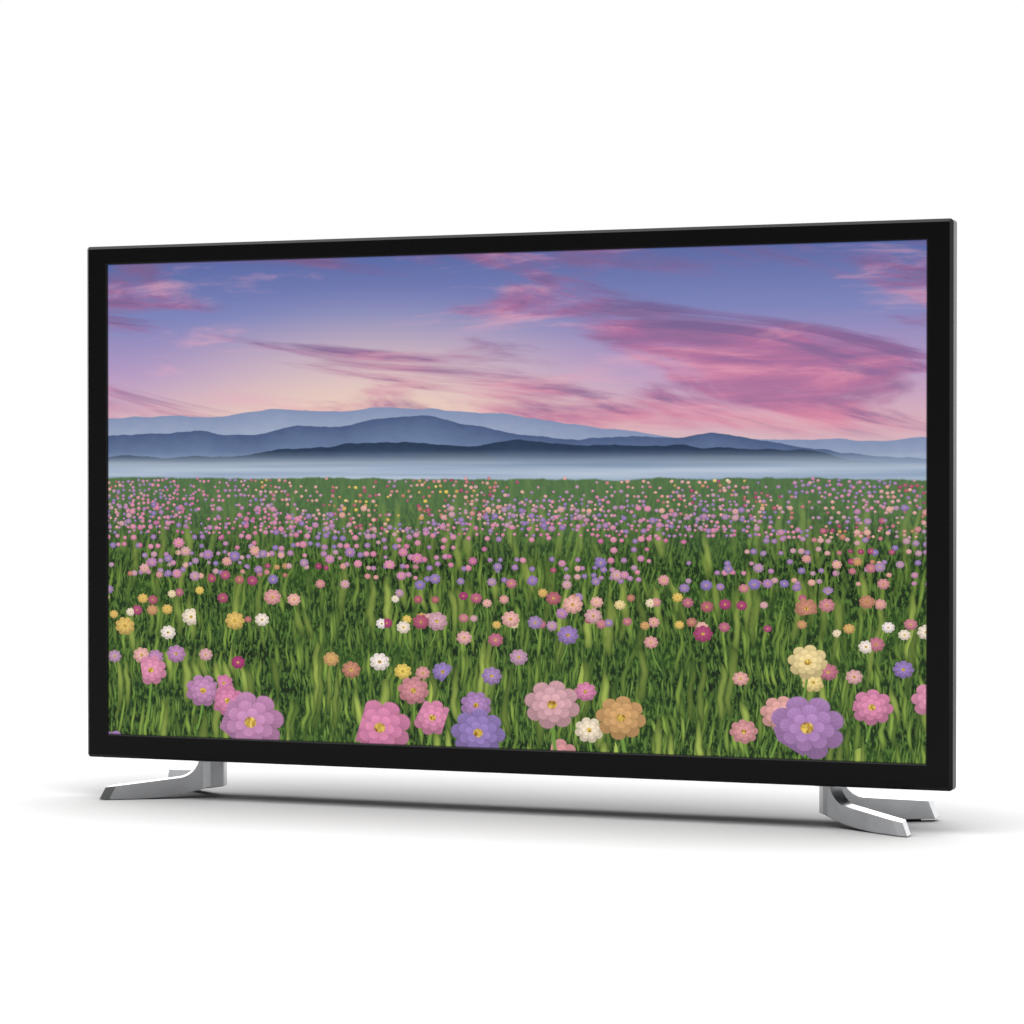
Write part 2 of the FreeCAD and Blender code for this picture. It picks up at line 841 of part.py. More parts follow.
def backlight():
    depth = bar_front - tray_front
    film = shell("reflector", reflector_front, size.reflectorThick, size.reflectorEdge, depth)
    film_low = bar_front - size.reflectorThick - past
    through_film = size.reflectorThick + 2 * past
    pin_room = size.supportStem + size.supportGap
    lens_holes = [
        rod(f"lens_hole_{index}", "y", size.lensRadius + size.lensGap, (x, film_low, z), through_film)
        for index, (x, z) in enumerate(lamp_places)
    ]
    pin_holes = [
        rod(f"pin_hole_{index}", "y", pin_room, (x, film_low, z), through_film)
        for index, (x, z) in enumerate(support_places)
    ]
    node("reflector_sheet", cut("ReflectorSheet", film, lens_holes + pin_holes))
    tray = shell("tray", tray_front, size.trayThick, size.trayEdge, tray_floor - tray_front)
    pin_seats = [
        rod(f"pin_seat_{index}", "y", pin_room, (x, tray_floor - past, z), size.trayThick + 2 * past)
        for index, (x, z) in enumerate(support_places)
    ]
    node("back_plate", cut("BackPlate", tray, pin_seats))
    half_bar = size.ledBarHeight / 2
    bars = [
        box(f"led_bar_{index}", (-bar_half, bar_half), (bar_front, tray_floor), (z - half_bar, z + half_bar))
        for index, z in enumerate(bar_heights)
    ]
    node("led_bars", group("LedBars", bars))
    half_chip = size.chipSide / 2
    chips = []
    lenses = []
    for index, (x, z) in enumerate(lamp_places):
        chips.append(box(
            f"led_chip_{index}",
            (x - half_chip, x + half_chip),
            (bar_front - size.chipThick, bar_front),
            (z - half_chip, z + half_chip),
        ))
        dome = cone(
            f"lens_dome_{index}", "y", size.lensTop, size.lensRadius,
            (x, bar_front - size.lensHeight, z), size.lensHeight,
        )
        hollow = rod(
            f"lens_hollow_{index}", "y", size.chipSide,
            (x, bar_front - size.lensHollow, z), size.lensHollow + past,
        )
        lenses.append(cut(f"lens_{index}", dome, [hollow]))
    node("led_chips", group("LedChips", chips))
    node("led_lenses", group("LedLenses", lenses))
    supports = []
    tip = reflector_front + size.supportShort
    foot = bar_front - size.reflectorThick
    for index, (x, z) in enumerate(support_places):
        peg = cone(
            f"support_cone_{index}", "y", size.supportTip, size.supportRadius, (x, tip, z), foot - tip
        )
        stem = rod(
            f"support_stem_{index}", "y", size.supportStem, (x, foot - past, z), tray_back - foot + past
        )
        supports.append(joined(f"support_{index}", [peg, stem]))
    node("diffuser_supports", group("DiffuserSupports", supports))


# Circuit boards stand off the tray, with sockets that open into bays at the cover's two sides.

mount_places = [(side * size.mountPitch / 2, z) for side, word in sides for z in (mount_low, mount_high)]
bay_floor = board_front - size.bayUnder


def board_corners(side):
    """The places of the four screws of the board on one side."""
    return [
        (side * x, z)
        for x in (board_inner + size.standoffInset, board_edge - size.standoffInset)
        for z in (board_low + size.standoffInset, board_high - size.standoffInset)
    ]


def screw(name, x, y, z, length):
    """A cross-head screw driven towards -Y, its head's underside at y."""
    top = y + size.screwHeadHeight
    head = rod(f"{name}_head", "y", size.screwHeadRadius, (x, y, z), size.screwHeadHeight)
    shank = rod(f"{name}_shank", "y", size.screwRadius, (x, y - length, z), length)
    half = size.crossWide / 2
    reach = size.crossReach
    depth = (top - size.crossDeep, top + past)
    slot = box(f"{name}_slot", (x - half, x + half), depth, (z - reach, z + reach))
    cross = box(f"{name}_cross", (x - reach, x + reach), depth, (z - half, z + half))
    return cut(name, joined(f"{name}_solid", [head, shank]), [joined(f"{name}_recess", [slot, cross])])


def boards():
    corners = board_corners(-1) + board_corners(1)
    standoffs = []
    screws = []
    for index, (x, z) in enumerate(corners):
        post = rod(f"standoff_post_{index}", "y", size.standoffRadius, (x, tray_back, z), size.boardLift)
        bore = rod(
            f"standoff_bore_{index}", "y", size.screwRadius + size.supportGap,
            (x, tray_back + size.standoffFloor, z), size.boardLift,
        )
        standoffs.append(cut(f"standoff_{index}", post, [bore]))
        screws.append(screw(f"board_screw_{index}", x, board_back, z, size.boardScrewLength))
    node("board_standoffs", group("BoardStandoffs", standoffs))
    node("board_screws", group("BoardScrews", screws))
    for side, label, name in ((-1, "main_board", "MainBoard"), (1, "power_board", "PowerBoard")):
        plate = box(
            f"{label}_plate", span(side, board_inner, board_edge),
            (board_front, board_back), (board_low, board_high),
        )
        holes = [
            rod(
                f"{label}_hole_{index}", "y", size.screwRadius + size.screwHoleGap,
                (x, board_front - past, z), size.boardThick + 2 * past,
            )
            for index, (x, z) in enumerate(board_corners(side))
        ]
        node(label, cut(name, plate, holes))


def on_board(name, side, inward, rise, wide, tall, deep, lift=0):
    """A part on a board's back: how far its middle is from the outer edge, and above the middle height."""
    x = side * (board_edge - inward)
    z = mount_middle + rise
    start = board_back + lift
    return box(name, (x - wide / 2, x + wide / 2), (start, start + deep), (z - tall / 2, z + tall / 2))


def main_board_parts():
    rise = size.processorRise
    side = size.processorSide
    node("processor", on_board("Processor", -1, size.processorIn, rise, side, side, size.processorThick))
    base = on_board(
        "sink_base", -1, size.processorIn, rise,
        size.sinkSide, size.sinkSide, size.sinkBase, size.processorThick,
    )
    fins = [
        on_board(
            f"sink_fin_{step}", -1, size.processorIn + step * size.sinkFinPitch, rise, size.sinkFinThick,
            size.sinkSide, size.sinkFinTall, size.processorThick + size.sinkBase,
        )
        for step in range(-3, 4)
    ]
    node("processor_heatsink", joined("ProcessorHeatsink", [base] + fins))
    memory = [
        on_board(
            f"memory_{step}", -1, size.memoryIn, rise + step * size.memoryPitch,
            size.memoryWide, size.memoryTall, size.memoryThick,
        )
        for step in (-1, 0, 1)
    ]
    node("memory_chips", group("MemoryChips", memory))


def power_board_parts():
    rise = size.transformerRise
    core = on_board("core", 1, size.transformerIn, rise, size.coreWide, size.coreTall, size.coreDeep)
    winding = on_board(
        "winding", 1, size.transformerIn, rise,
        size.windingWide, size.windingTall, size.windingDeep, size.windingLift,
    )
    node("transformer", joined("Transformer", [core, winding]))
    cans = []
    places = (
        (size.capacitorIn, size.processorRise),
        (size.capacitorIn, size.processorRise + size.capacitorPitch),
        (size.filterIn, -size.filterDrop),
    )
    for index, (inward, up) in enumerate(places):
        middle = (board_edge - inward, board_back, mount_middle + up)
        cans.append(rod(f"capacitor_{index}", "y", size.capacitorRadius, middle, size.capacitorDeep))
    node("capacitors", group("Capacitors", cans))
    web = on_board("rail_web", 1, size.railIn, rise, size.railThick, size.railTall, size.railDeep)
    fin_in = size.railIn + (size.railFinLength + size.railThick) / 2
    fins = [
        on_board(
            f"rail_fin_{step}", 1, fin_in, rise + step * size.railFinPitch,
            size.railFinLength, size.railFinThick, size.railDeep,
        )
        for step in (-2, -1, 0, 1, 2)
    ]
    node("power_heatsink", joined("PowerHeatsink", [web] + fins))


def small_boards():
    """The radio module on the tray, and the remote control's eye behind the frame's lower border."""
    x = size.wifiAside
    z = lit_middle + size.wifiRise
    can_x = x + 2 * size.wifiCanInset
    face = tray_back + size.wifiThick
    plate = box("wifi_plate", (x, x + size.wifiWide), (tray_back, face), (z, z + size.wifiTall))
    can = box(
        "wifi_can", (can_x, can_x + size.wifiCanWide), (face, face + size.wifiCanDeep),
        (z + size.wifiCanInset, z + size.wifiTall - size.wifiCanInset),
    )
    node("wifi_module", joined("WifiModule", [plate, can]))
    low = inner_low + size.eyeGap
    high = low + size.eyeBoardTall
    board = lip_back + size.eyeDeep
    half = size.eyeBoardWide / 2
    half_eye = size.eyeWide / 2
    eye_plate = box("eye_plate", (-half, half), (board, board + size.eyeBoardThick), (low, high))
    trim = size.eyeGap / 2
    eye = box("eye_block", (-half_eye, half_eye), (lip_back, board), (low + trim, high - trim))
    node("ir_board", joined("IrBoard", [eye_plate, eye]))


# Sockets in the side bay. Each opens towards -X, flush with the bay's wall.

bay_mouth = -(bay_wall + size.socketProud)
tuner_front = size.coverWall + size.socketGap - bay_wall
socket_list = {
    "usb": (size.usbRise, size.usbTall, size.usbDeep, size.usbLength),
    "hdmi_upper": (size.hdmiRise + size.hdmiPitch / 2, size.hdmiTall, size.hdmiDeep, size.hdmiLength),
    "hdmi_lower": (size.hdmiRise - size.hdmiPitch / 2, size.hdmiTall, size.hdmiDeep, size.hdmiLength),
    "lan": (-size.lanDrop, size.lanTall, size.lanDeep, size.lanLength),
}
tuner_middle = mount_middle - size.tunerDrop
aerial_depth = board_back + size.tunerDeep / 2


def socket_shell(name, rise, tall, deep, length, tongue=True):
    """A folded metal socket with a plastic tongue, open towards -X."""
    z = mount_middle + rise
    wall = size.socketWall
    back = board_back + deep
    low = z - tall / 2
    high = z + tall / 2
    end = bay_mouth + length - size.socketBack
    whole = box(f"{name}_whole", (bay_mouth, bay_mouth + length), (board_back, back), (low, high))
    hole = box(
        f"{name}_mouth", (bay_mouth - past, end), (board_back + wall, back - wall), (low + wall, high - wall)
    )
    case = cut(f"{name}_case", whole, [hole])
    if not tongue:
        return case
    middle = board_back + deep / 2
    half = size.tongueThick / 2
    blade = box(
        f"{name}_tongue", (bay_mouth + size.socketBack, end + size.socketBack / 2),
        (middle - half, middle + half),
        (low + size.tongueInset, high - size.tongueInset),
    )
    return joined(name, [case, blade])


def tuner():
    half = size.tunerTall / 2
    node("tuner_can", box(
        "TunerCan", (tuner_front, tuner_front + size.tunerLength), (board_back, board_back + size.tunerDeep),
        (tuner_middle - half, tuner_middle + half),
    ))
    end = tuner_front - size.aerialLength
    start = (end, aerial_depth, tuner_middle)
    barrel = rod("aerial_barrel", "x", size.aerialRadius, start, size.aerialLength)
    bore = rod(
        "aerial_bore", "x", size.aerialBore,
        (end - past, aerial_depth, tuner_middle), size.aerialBoreDepth + past,
    )
    node("antenna_socket", cut("AntennaSocket", barrel, [bore]))


def power_inlet():
    mouth = bay_wall + size.socketProud
    half = size.inletTall / 2
    inner = half - size.inletEndWall
    back = board_back + size.inletDeep
    floor = mouth - size.inletMouthDepth
    body = box(
        "inlet_body", (mouth - size.inletLength, mouth), (board_back, back),
        (mount_middle - half, mount_middle + half),
    )
    room = box(
        "inlet_room", (floor, mouth + past), (board_back + size.inletWall, back - size.inletWall),
        (mount_middle - inner, mount_middle + inner),
    )
    pins = [
        rod(
            f"inlet_pin_{word}", "x", size.inletPinRadius,
            (floor - past, board_back + size.inletDeep / 2, mount_middle + side * size.inletPinPitch / 2),
            size.inletPinLength,
        )
        for side, word in sides
    ]
    node("ac_inlet", joined("AcInlet", [cut("inlet_shell", body, [room])] + pins))


def sockets():
    node("usb_socket", socket_shell("UsbSocket", *socket_list["usb"]))
    pair = [socket_shell(name, *socket_list[name]) for name in ("hdmi_upper", "hdmi_lower")]
    node("hdmi_sockets", group("HdmiSockets", pair))
    node("lan_socket", socket_shell("LanSocket", *socket_list["lan"], tongue=False))
    tuner()
    power_inlet()


panel_board_low = lit_low + size.panelBoardRise
panel_board_high = panel_board_low + size.panelBoardTall
panel_board_face = tray_back + size.panelBoardThick


def panel_driver():
    half = size.panelBoardWide / 2
    face = panel_board_face
    rise = (panel_board_low, panel_board_high)
    node("panel_board", box("PanelBoard", (-half, half), (tray_back, face), rise))
    cell_low = lit_low - size.cellBorder
    low = cell_low - size.flexDrop
    thick = size.flexThick
    start = cell_front + size.flexSink
    strips = []
    for index in range(4):
        middle = (index - 1.5) * size.flexPitch
        x = (middle - size.flexWide / 2, middle + size.flexWide / 2)
        down = box(f"flex_down_{index}", x, (start, start + thick), (low, cell_low))
        across = box(f"flex_across_{index}", x, (start, face + thick), (low, low + thick))
        up = box(f"flex_up_{index}", x, (face, face + thick), (low, panel_board_low + size.flexLap))
        strips.append(joined(f"flex_{index}", [down, across, up]))
    node("panel_flexes", group("PanelFlexes", strips))


# A foot's places on the right side: its blunt nose, and the cap, plate and tenon above it.

nose_x = half_wide - size.footInset
nose_y = front + size.noseSetback
nose_corner = (nose_x - size.noseCornerIn, nose_y + size.noseCornerBack)
nose_back = (nose_x - size.noseBackIn, nose_y + size.noseBackBack)
cap_x = (nose_x - size.capIn, nose_x - size.capIn + size.capWide)
cap_front = front + size.bezelDepth + size.capSetback
cap_back = cap_front + size.capDeep
plate_x = (nose_x - size.footPlateIn, nose_x - size.footPlateIn + size.footPlateWide)
tenon_x = (nose_x - size.tenonIn, nose_x - size.tenonIn + size.tenonWide)
tenon_y = (nose_y + size.tenonSetback, nose_y + size.tenonSetback + size.tenonDeep)
foot_screw_places = (plate_x[0] + size.footScrewInset, plate_x[1] - size.footScrewInset)
foot_screw_depth = (cap_front + cap_back) / 2 + size.footScrewBehind

# Speakers sit low in the cover and fire down through its slots, between the feet's brackets.

speaker_low = bulge_floor + size.speakerSeat
speaker_high = speaker_low + size.speakerTall
speaker_front = tray_back + size.speakerGap
speaker_back = cover_inside - size.speakerBackGap
speaker_outer = plate_x[0] - size.speakerClear
speaker_inner = speaker_outer - size.speakerWide
speaker_middle = (speaker_inner + speaker_outer) / 2
speaker_depth = (speaker_front + speaker_back) / 2


def speakers():
    wall = size.speakerWall
    base = speaker_low + wall
    bowl_start = base + size.driverRimThick
    bowl_end = base + size.driverBowlDeep
    for side, word in sides:
        middle = side * speaker_middle
        whole = box(
            f"speaker_whole_{word}", span(side, speaker_inner, speaker_outer),
            (speaker_front, speaker_back), (speaker_low, speaker_high),
        )
        room = box(
            f"speaker_room_{word}", span(side, speaker_inner + wall, speaker_outer - wall),
            (speaker_front + wall, speaker_back - wall), (base, speaker_high - wall),
        )
        hole = rod(
            f"speaker_hole_{word}", "z", size.speakerHole,
            (middle, speaker_depth, speaker_low - past), wall + 2 * past,
        )
        case = cut(f"SpeakerBox{word}", whole, [joined(f"speaker_space_{word}", [room, hole])])
        node(f"speaker_box_{word}", case)
        rim = rod(
            f"driver_rim_{word}", "z", size.speakerHole + size.driverRim,
            (middle, speaker_depth, base), size.driverRimThick,
        )
        bowl = cone(
            f"driver_bowl_{word}", "z", size.speakerHole, size.driverNeck,
            (middle, speaker_depth, bowl_start), bowl_end - bowl_start,
        )
        magnet = rod(
            f"driver_magnet_{word}", "z", size.magnetRadius,
            (middle, speaker_depth, bowl_end), size.magnetDeep,
        )
        dish = cone(
            f"driver_dish_{word}", "z", size.speakerHole - size.coneWall, size.driverNeck - size.coneWall,
            (middle, speaker_depth, base), size.coneDeep,
        )
        driver = cut(f"SpeakerDriver{word}", joined(f"driver_solid_{word}", [rim, bowl, magnet]), [dish])
        node(f"speaker_driver_{word}", driver)


def wire(name, radius, route):
    """A lead along straight runs joined by tangent arcs, each as large as its runs allow."""
    points = [FreeCAD.Vector(*(value_of(amount) for amount in point)) for point in route]
    edges = []
    reached = points[0]
    bends = []
    for before, corner, after in zip(points, points[1:], points[2:]):
        inward = (before - corner).normalize()
        outward = (after - corner).normalize()
        turn = math.pi - inward.getAngle(outward)
        reach = 0.45 * min((before - corner).Length, (after - corner).Length)
        bend = reach / math.tan(turn / 2)
        bends.append(bend)
        first = corner + inward * reach
        last = corner + outward * reach
        middle = corner + (inward + outward).normalize() * (bend / math.cos(turn / 2) - bend)
        edges.append(Part.LineSegment(reached, first).toShape())
        edges.append(Part.Arc(first, middle, last).toShape())
        reached = last
    edges.append(Part.LineSegment(reached, points[-1]).toShape())
    path = Part.Wire(edges)
    section = Part.Wire([Part.Circle(points[0], points[1] - points[0], radius.value).toShape()])
    tube = path.makePipeShell([section], True, False)
    swept = math.pi * radius.value**2 * path.Length
    print(name, "smallest bend", round(min(bends), 1), "volume ratio", round(tube.Volume / swept, 4))
    thing = document.addObject("Part::Feature", name)
    thing.Shape = tube
    return thing


def leads():
    """The leads between the boards. Their routes are chosen by hand from the boards' edges."""
    near = board_inner + size.leadInset
    far = board_inner - size.supplyReach
    high = board_high - size.leadInset
    crest = board_back + size.supplyArch
    swell = crest + size.supplySwell
    node("supply_lead", wire("SupplyLead", size.supplyLead, [
        (near, board_back, high),
        (near, crest, high),
        (far, swell, high - size.supplySag),
        (0, crest, high + size.supplySwing),
        (-far, swell, high - size.supplySag),
        (-near, crest, high),
        (-near, board_back, high),
    ]))
    low = board_low + size.lampLeadRise
    over = board_back + size.lampLeadArch
    down = board_inner - size.lampLeadReach
    end = low + 3 * size.lampLeadStep
    node("backlight_lead", wire("BacklightLead", size.lampLead, [
        (near, board_back, low),
        (near, over, low),
        (board_inner - size.lampLeadTurn, over, low + size.lampLeadStep),
        (down, board_front - size.lampLeadDrop, end),
        (down, tray_back, end),
    ]))
    out = speaker_middle + size.speakerLeadAside
    turn = speaker_middle + size.speakerLeadTurn
    into = speaker_middle - size.speakerLeadIn
    arch = board_back + size.speakerLeadArch
    foot = board_low + size.speakerLeadOver
    speaker_wires = []
    for side, word in sides:
        speaker_wires.append(wire(f"speaker_lead_{word}", size.speakerLead, [
            (side * out, speaker_depth, speaker_high),
            (side * out, speaker_depth, speaker_high + size.speakerLeadRise),
            (side * turn, speaker_depth, speaker_high + size.speakerLeadBend),
            (side * into, arch, foot),
            (side * into, board_back, foot),
        ]))
    node("speaker_leads", group("SpeakerLeads", speaker_wires))


def display_ribbon():
    """A flat lead from the main board over its edge and down to the panel's board."""
    thick = size.ribbonThick
    bend = size.ribbonAside - board_inner
    low = board_low + size.standoffInset + size.standoffRadius + past
    across = (low, low + size.ribbonWide)
    top = box("ribbon_top", (bend - size.ribbonReach, bend), (board_back, board_back + thick), across)
    drop = box("ribbon_drop", (bend - thick, bend), (panel_board_face, board_back + thick), across)
    down = box(
        "ribbon_down", (bend - thick, bend + size.ribbonWide), (panel_board_face, panel_board_face + thick),
        (panel_board_high - size.flexLap - past, low + size.ribbonWide),
    )
    node("display_ribbon", joined("DisplayRibbon", [top, drop, down]))


# The rear cover: a border inside the frame's wall, a low tier over the tray and a bulge over the boards.

tier_wide = half_lit + size.tierMargin
tier_top = frame_high - size.tierTop
tier = types.SimpleNamespace(
    start=cover_plate_back, back=tier_back, wide=tier_wide, wide_back=tier_wide - size.tierTaper,
    top=tier_top, top_back=tier_top - size.tierTopTaper, round=size.tierRound,
)
bulge = types.SimpleNamespace(
    start=tier_back, back=cover_back, wide=bulge_wide, wide_back=bulge_wide - size.bulgeTaper,
    top=frame_high - size.bulgeTop, top_back=mount_high + size.bulgeOverMount, round=size.bulgeRound,
)


def hump(name, form, first, inside):
    """A tapered form of the cover from a depth to its back, or the hollow inside its wall."""
    rise = form.back - form.start
    side_slope = (form.wide - form.wide_back) / rise
    top_slope = (form.top - form.top_back) / rise
    side_in = top_in = low_in = 0
    last = form.back
    corner = form.round
    if inside:
        side_in = size.coverWall * square_root(1 + side_slope * side_slope)
        top_in = size.coverWall * square_root(1 + top_slope * top_slope)
        low_in = size.coverWall
        last = form.back - size.coverWall
        corner = form.round - size.coverWall
    ends = []
    for depth in (first, last):
        reach = depth - form.start
        half = form.wide - side_slope * reach - side_in
        top = form.top - top_slope * reach - top_in
        ends.append((-half, half, bulge_low + low_in, top))
    whole = tapered(name, (first, last), *ends)
    return rounded(f"{name}_soft", whole, corner, lambda edge: edge.BoundBox.YMax > value_of(first) + 0.01)


bay_ranges = {
    -1: (board_low - size.bayMargin, board_high + size.bayMargin),
    1: (mount_middle - size.powerBayTall / 2, mount_middle + size.powerBayTall / 2),
}


def in_bay(name, side, grown):
    """The space of a side bay, grown by the cover's wall where grown is that wall."""
    low, high = bay_ranges[side]
    return box(
        name, span(side, bay_wall - grown, tier_wide + past), (bay_floor - grown, cover_back + past),
        (low - grown, high + grown),
    )


def tenon_room(name, side, low, high):
    """The hole that a foot's tenon passes through."""
    gap = size.tenonGap
    across = span(side, tenon_x[0] - gap, tenon_x[1] + gap)
    return box(name, across, (tenon_y[0] - gap, tenon_y[1] + gap), (low, high))


def cover_openings():
    """Everything that is cut through the cover's walls apart from its vents and the holes for the feet."""
    tools = []
    wall = size.coverWall
    through = wall + 2 * past
    gap = size.socketGap
    for index, (x, z) in enumerate(mount_places):
        tools.append(rod(
            f"cover_mount_{index}", "y", size.mountRadius + size.mountHoleGap,
            (x, cover_inside - past, z), through,
        ))
    for index, (x, z) in enumerate(screw_places):
        tools.append(rod(
            f"cover_screw_hole_{index}", "y", size.screwRadius + size.screwHoleGap,
            (x, cover_plate_front - past, z), through,
        ))
    tools.append(rod("cover_stick", "y", size.stickHole, (stick_x, cover_inside - past, stick_z), through))
    wall_x = (-bay_wall - past, wall - bay_wall + past)
    for name, (rise, tall, deep, _) in socket_list.items():
        z = mount_middle + rise
        tools.append(box(
            f"cover_{name}", wall_x, (board_back - gap, board_back + deep + gap),
            (z - tall / 2 - gap, z + tall / 2 + gap),
        ))
    tools.append(rod(
        "cover_aerial", "x", size.aerialRadius + gap, (-bay_wall - past, aerial_depth, tuner_middle), through
    ))
    half = size.inletTall / 2 + gap
    tools.append(box(
        "cover_inlet", (bay_wall - wall - past, bay_wall + past),
        (board_back - gap, board_back + size.inletDeep + gap),
        (mount_middle - half, mount_middle + half),
    ))
    return tools


def vents():
    """Rows of slots through the bulge's sloping top, and speaker slots through its foot."""
    slots = []
    half_vent = size.ventLength / 2
    half_slot = size.slotWidth / 2
    half_length = size.slotLength / 2
    for row in range(5):
        z = bulge.top_back + size.ventRise + row * size.ventRowPitch
        for step in range(-8, 9):
            x = step * size.ventPitch
            slots.append(box(
                f"vent_{row}_{step + 8}", (x - half_vent, x + half_vent), (bay_floor, cover_back + past),
                (z, z + size.ventWidth),
            ))
    for side, word in sides:
        for step in range(-3, 4):
            x = side * speaker_middle + step * size.slotPitch
            slots.append(box(
                f"speaker_slot_{word}_{step + 3}", (x - half_slot, x + half_slot),
                (speaker_depth - half_length, speaker_depth + half_length),
                (bulge_low - past, bulge_floor + past),
            ))
    return slots


def foot_openings():
    """Holes in the cover's foot for each foot's tenon and screws."""
    tools = []
    for side, word in sides:
        tools.append(tenon_room(f"tenon_hole_{word}", side, bulge_low - past, bulge_floor + past))
        for index, x in enumerate(foot_screw_places):
            tools.append(rod(
                f"foot_screw_hole_{word}_{index}", "z", size.footScrewRadius + size.footScrewGap,
                (side * x, foot_screw_depth, bulge_low - past), size.coverWall + 2 * past,
            ))
    return tools


def rear_cover():
    inset = size.bezelWall + size.coverGap
    half = half_wide - inset
    plate = box(
        "cover_plate", (-half, half), (cover_plate_front, cover_plate_back),
        (frame_low + inset, frame_high - inset),
    )
    solid = joined("cover_solid", [
        plate,
        hump("tier_outer", tier, cover_plate_front, False),
        hump("bulge_outer", bulge, cover_plate_front, False),
    ])
    hollow = joined("cover_hollow", [
        hump("tier_inner", tier, cover_plate_front - past, True),
        hump("bulge_inner", bulge, cover_plate_front - past, True),
    ])
    bays = [in_bay(f"bay_{word}", side, 0) for side, word in sides]
    bay_walls = [in_bay(f"bay_wall_{word}", side, size.coverWall) for side, word in sides]
    room = cut("cover_room", hollow, bay_walls)
    shell_of_cover = cut("cover_shell", cut("cover_cut", solid, bays), [room])
    opened = cut("cover_opened", shell_of_cover, cover_openings() + foot_openings())
    node("rear_cover", cut("RearCover", opened, vents()))


def wall_mount():
    """Four threaded inserts from the tray to the cover's back."""
    inserts = []
    back = cover_back - size.mountRecess
    for index, (x, z) in enumerate(mount_places):
        post = rod(f"mount_post_{index}", "y", size.mountRadius, (x, tray_back, z), back - tray_back)
        bore = rod(
            f"mount_bore_{index}", "y", size.mountBore,
            (x, back - size.mountBoreDepth, z), size.mountBoreDepth + past,
        )
        inserts.append(cut(f"mount_{index}", post, [bore]))
    node("vesa_inserts", group("VesaInserts", inserts))


def cover_screws():
    screws = [
        screw(f"cover_screw_{index}", x, cover_plate_back, z, size.coverScrewLength)
        for index, (x, z) in enumerate(screw_places)
    ]
    node("cover_screws", group("CoverScrews", screws))


# The feet. Each is one casting: two blades from a blunt nose, with a plate and a tenon on top.

foot_plate_low = bulge_low - size.footPlateThick
post_top = size.groundGap - size.postGap


def blade_points(length, tip_height, tip_lean, top_turn, post_side, sole, flat):
    """The side view of a blade, along it and up, with its two arcs."""
    tip_along = length - tip_lean
    centre_along = post_side + size.postRound
    slope = sine(top_turn) / cosine(top_turn)
    centre_up = tip_height + (tip_along - centre_along) * slope + size.postRound / cosine(top_turn)
    touch_along = centre_along - size.postRound * sine(top_turn)
    touch_up = centre_up - size.postRound * cosine(top_turn)
    up_at_top = centre_up - post_top
    side_at_top = centre_along - square_root(size.postRound * size.postRound - up_at_top * up_at_top)
    heel_rise = size.heelHeight - sole
    belly = (flat * flat + heel_rise * heel_rise) / (2 * heel_rise)
    points = [
        (0, size.heelHeight),
        (flat, sole),
        (length, sole),
        (tip_along, tip_height),
        (touch_along, touch_up),
        (side_at_top, post_top),
        (0, post_top),
    ]
    arcs = {
        0: ((flat, sole + belly), belly, True),
        4: ((centre_along, centre_up), size.postRound, False),
    }
    return points, arcs


front_arm = (nose_x, nose_y, -size.frontArmTurn)
rear_arm = (*nose_back, size.rearArmTurn)


def arm_point(start_x, start_y, turn, along, across):
    """A point beside an arm's outer face: along it, and across towards the foot's inside."""
    return (
        start_x + along * cosine(turn) - across * sine(turn),
        start_y + along * sine(turn) + across * cosine(turn),
    )


def upright_at(*places):
    """Picks the upright edges at places on the plan."""
    def chosen(edge):
        extent = edge.BoundBox
        upright = extent.ZLength > size.heelHeight.value and extent.XLength < 0.01 and extent.YLength < 0.01
        return upright and any(
            math.dist((extent.Center.x, extent.Center.y), (value_of(x), value_of(y))) < 0.05
            for x, y in places
        )
    return chosen


def blade(body, name, arm, inwards, length, tip_height, tip_lean, *measures):
    """One arm of a foot, drawn from the side in its own plane, with its tip cut square to the frame."""
    x, y, turn = arm
    sole = measures[-2]
    view = new_sketch(body, f"{name}_side", "XZ_Plane", (x, 0, -y), turn)
    outline(view, *blade_points(length + past, tip_height, tip_lean, *measures))
    pad(body, name, view, size.bladeThick, inwards)
    tip_x, tip_y = arm_point(*arm, length, 0)
    lean = tip_lean * cosine(turn) / (tip_height - sole)
    rise = tip_height - sole + 2 * past
    start = past - tip_y if inwards else -past - tip_y
    end = new_sketch(body, f"{name}_end", "XZ_Plane", (tip_x, sole, start))
    outline(end, [
        (lean * past, -past),
        (size.bladeThick, -past),
        (size.bladeThick, rise),
        (-lean * rise, rise),
    ])
    pocket(body, f"{name}_tip", end, 2 * size.bladeThick, not inwards)


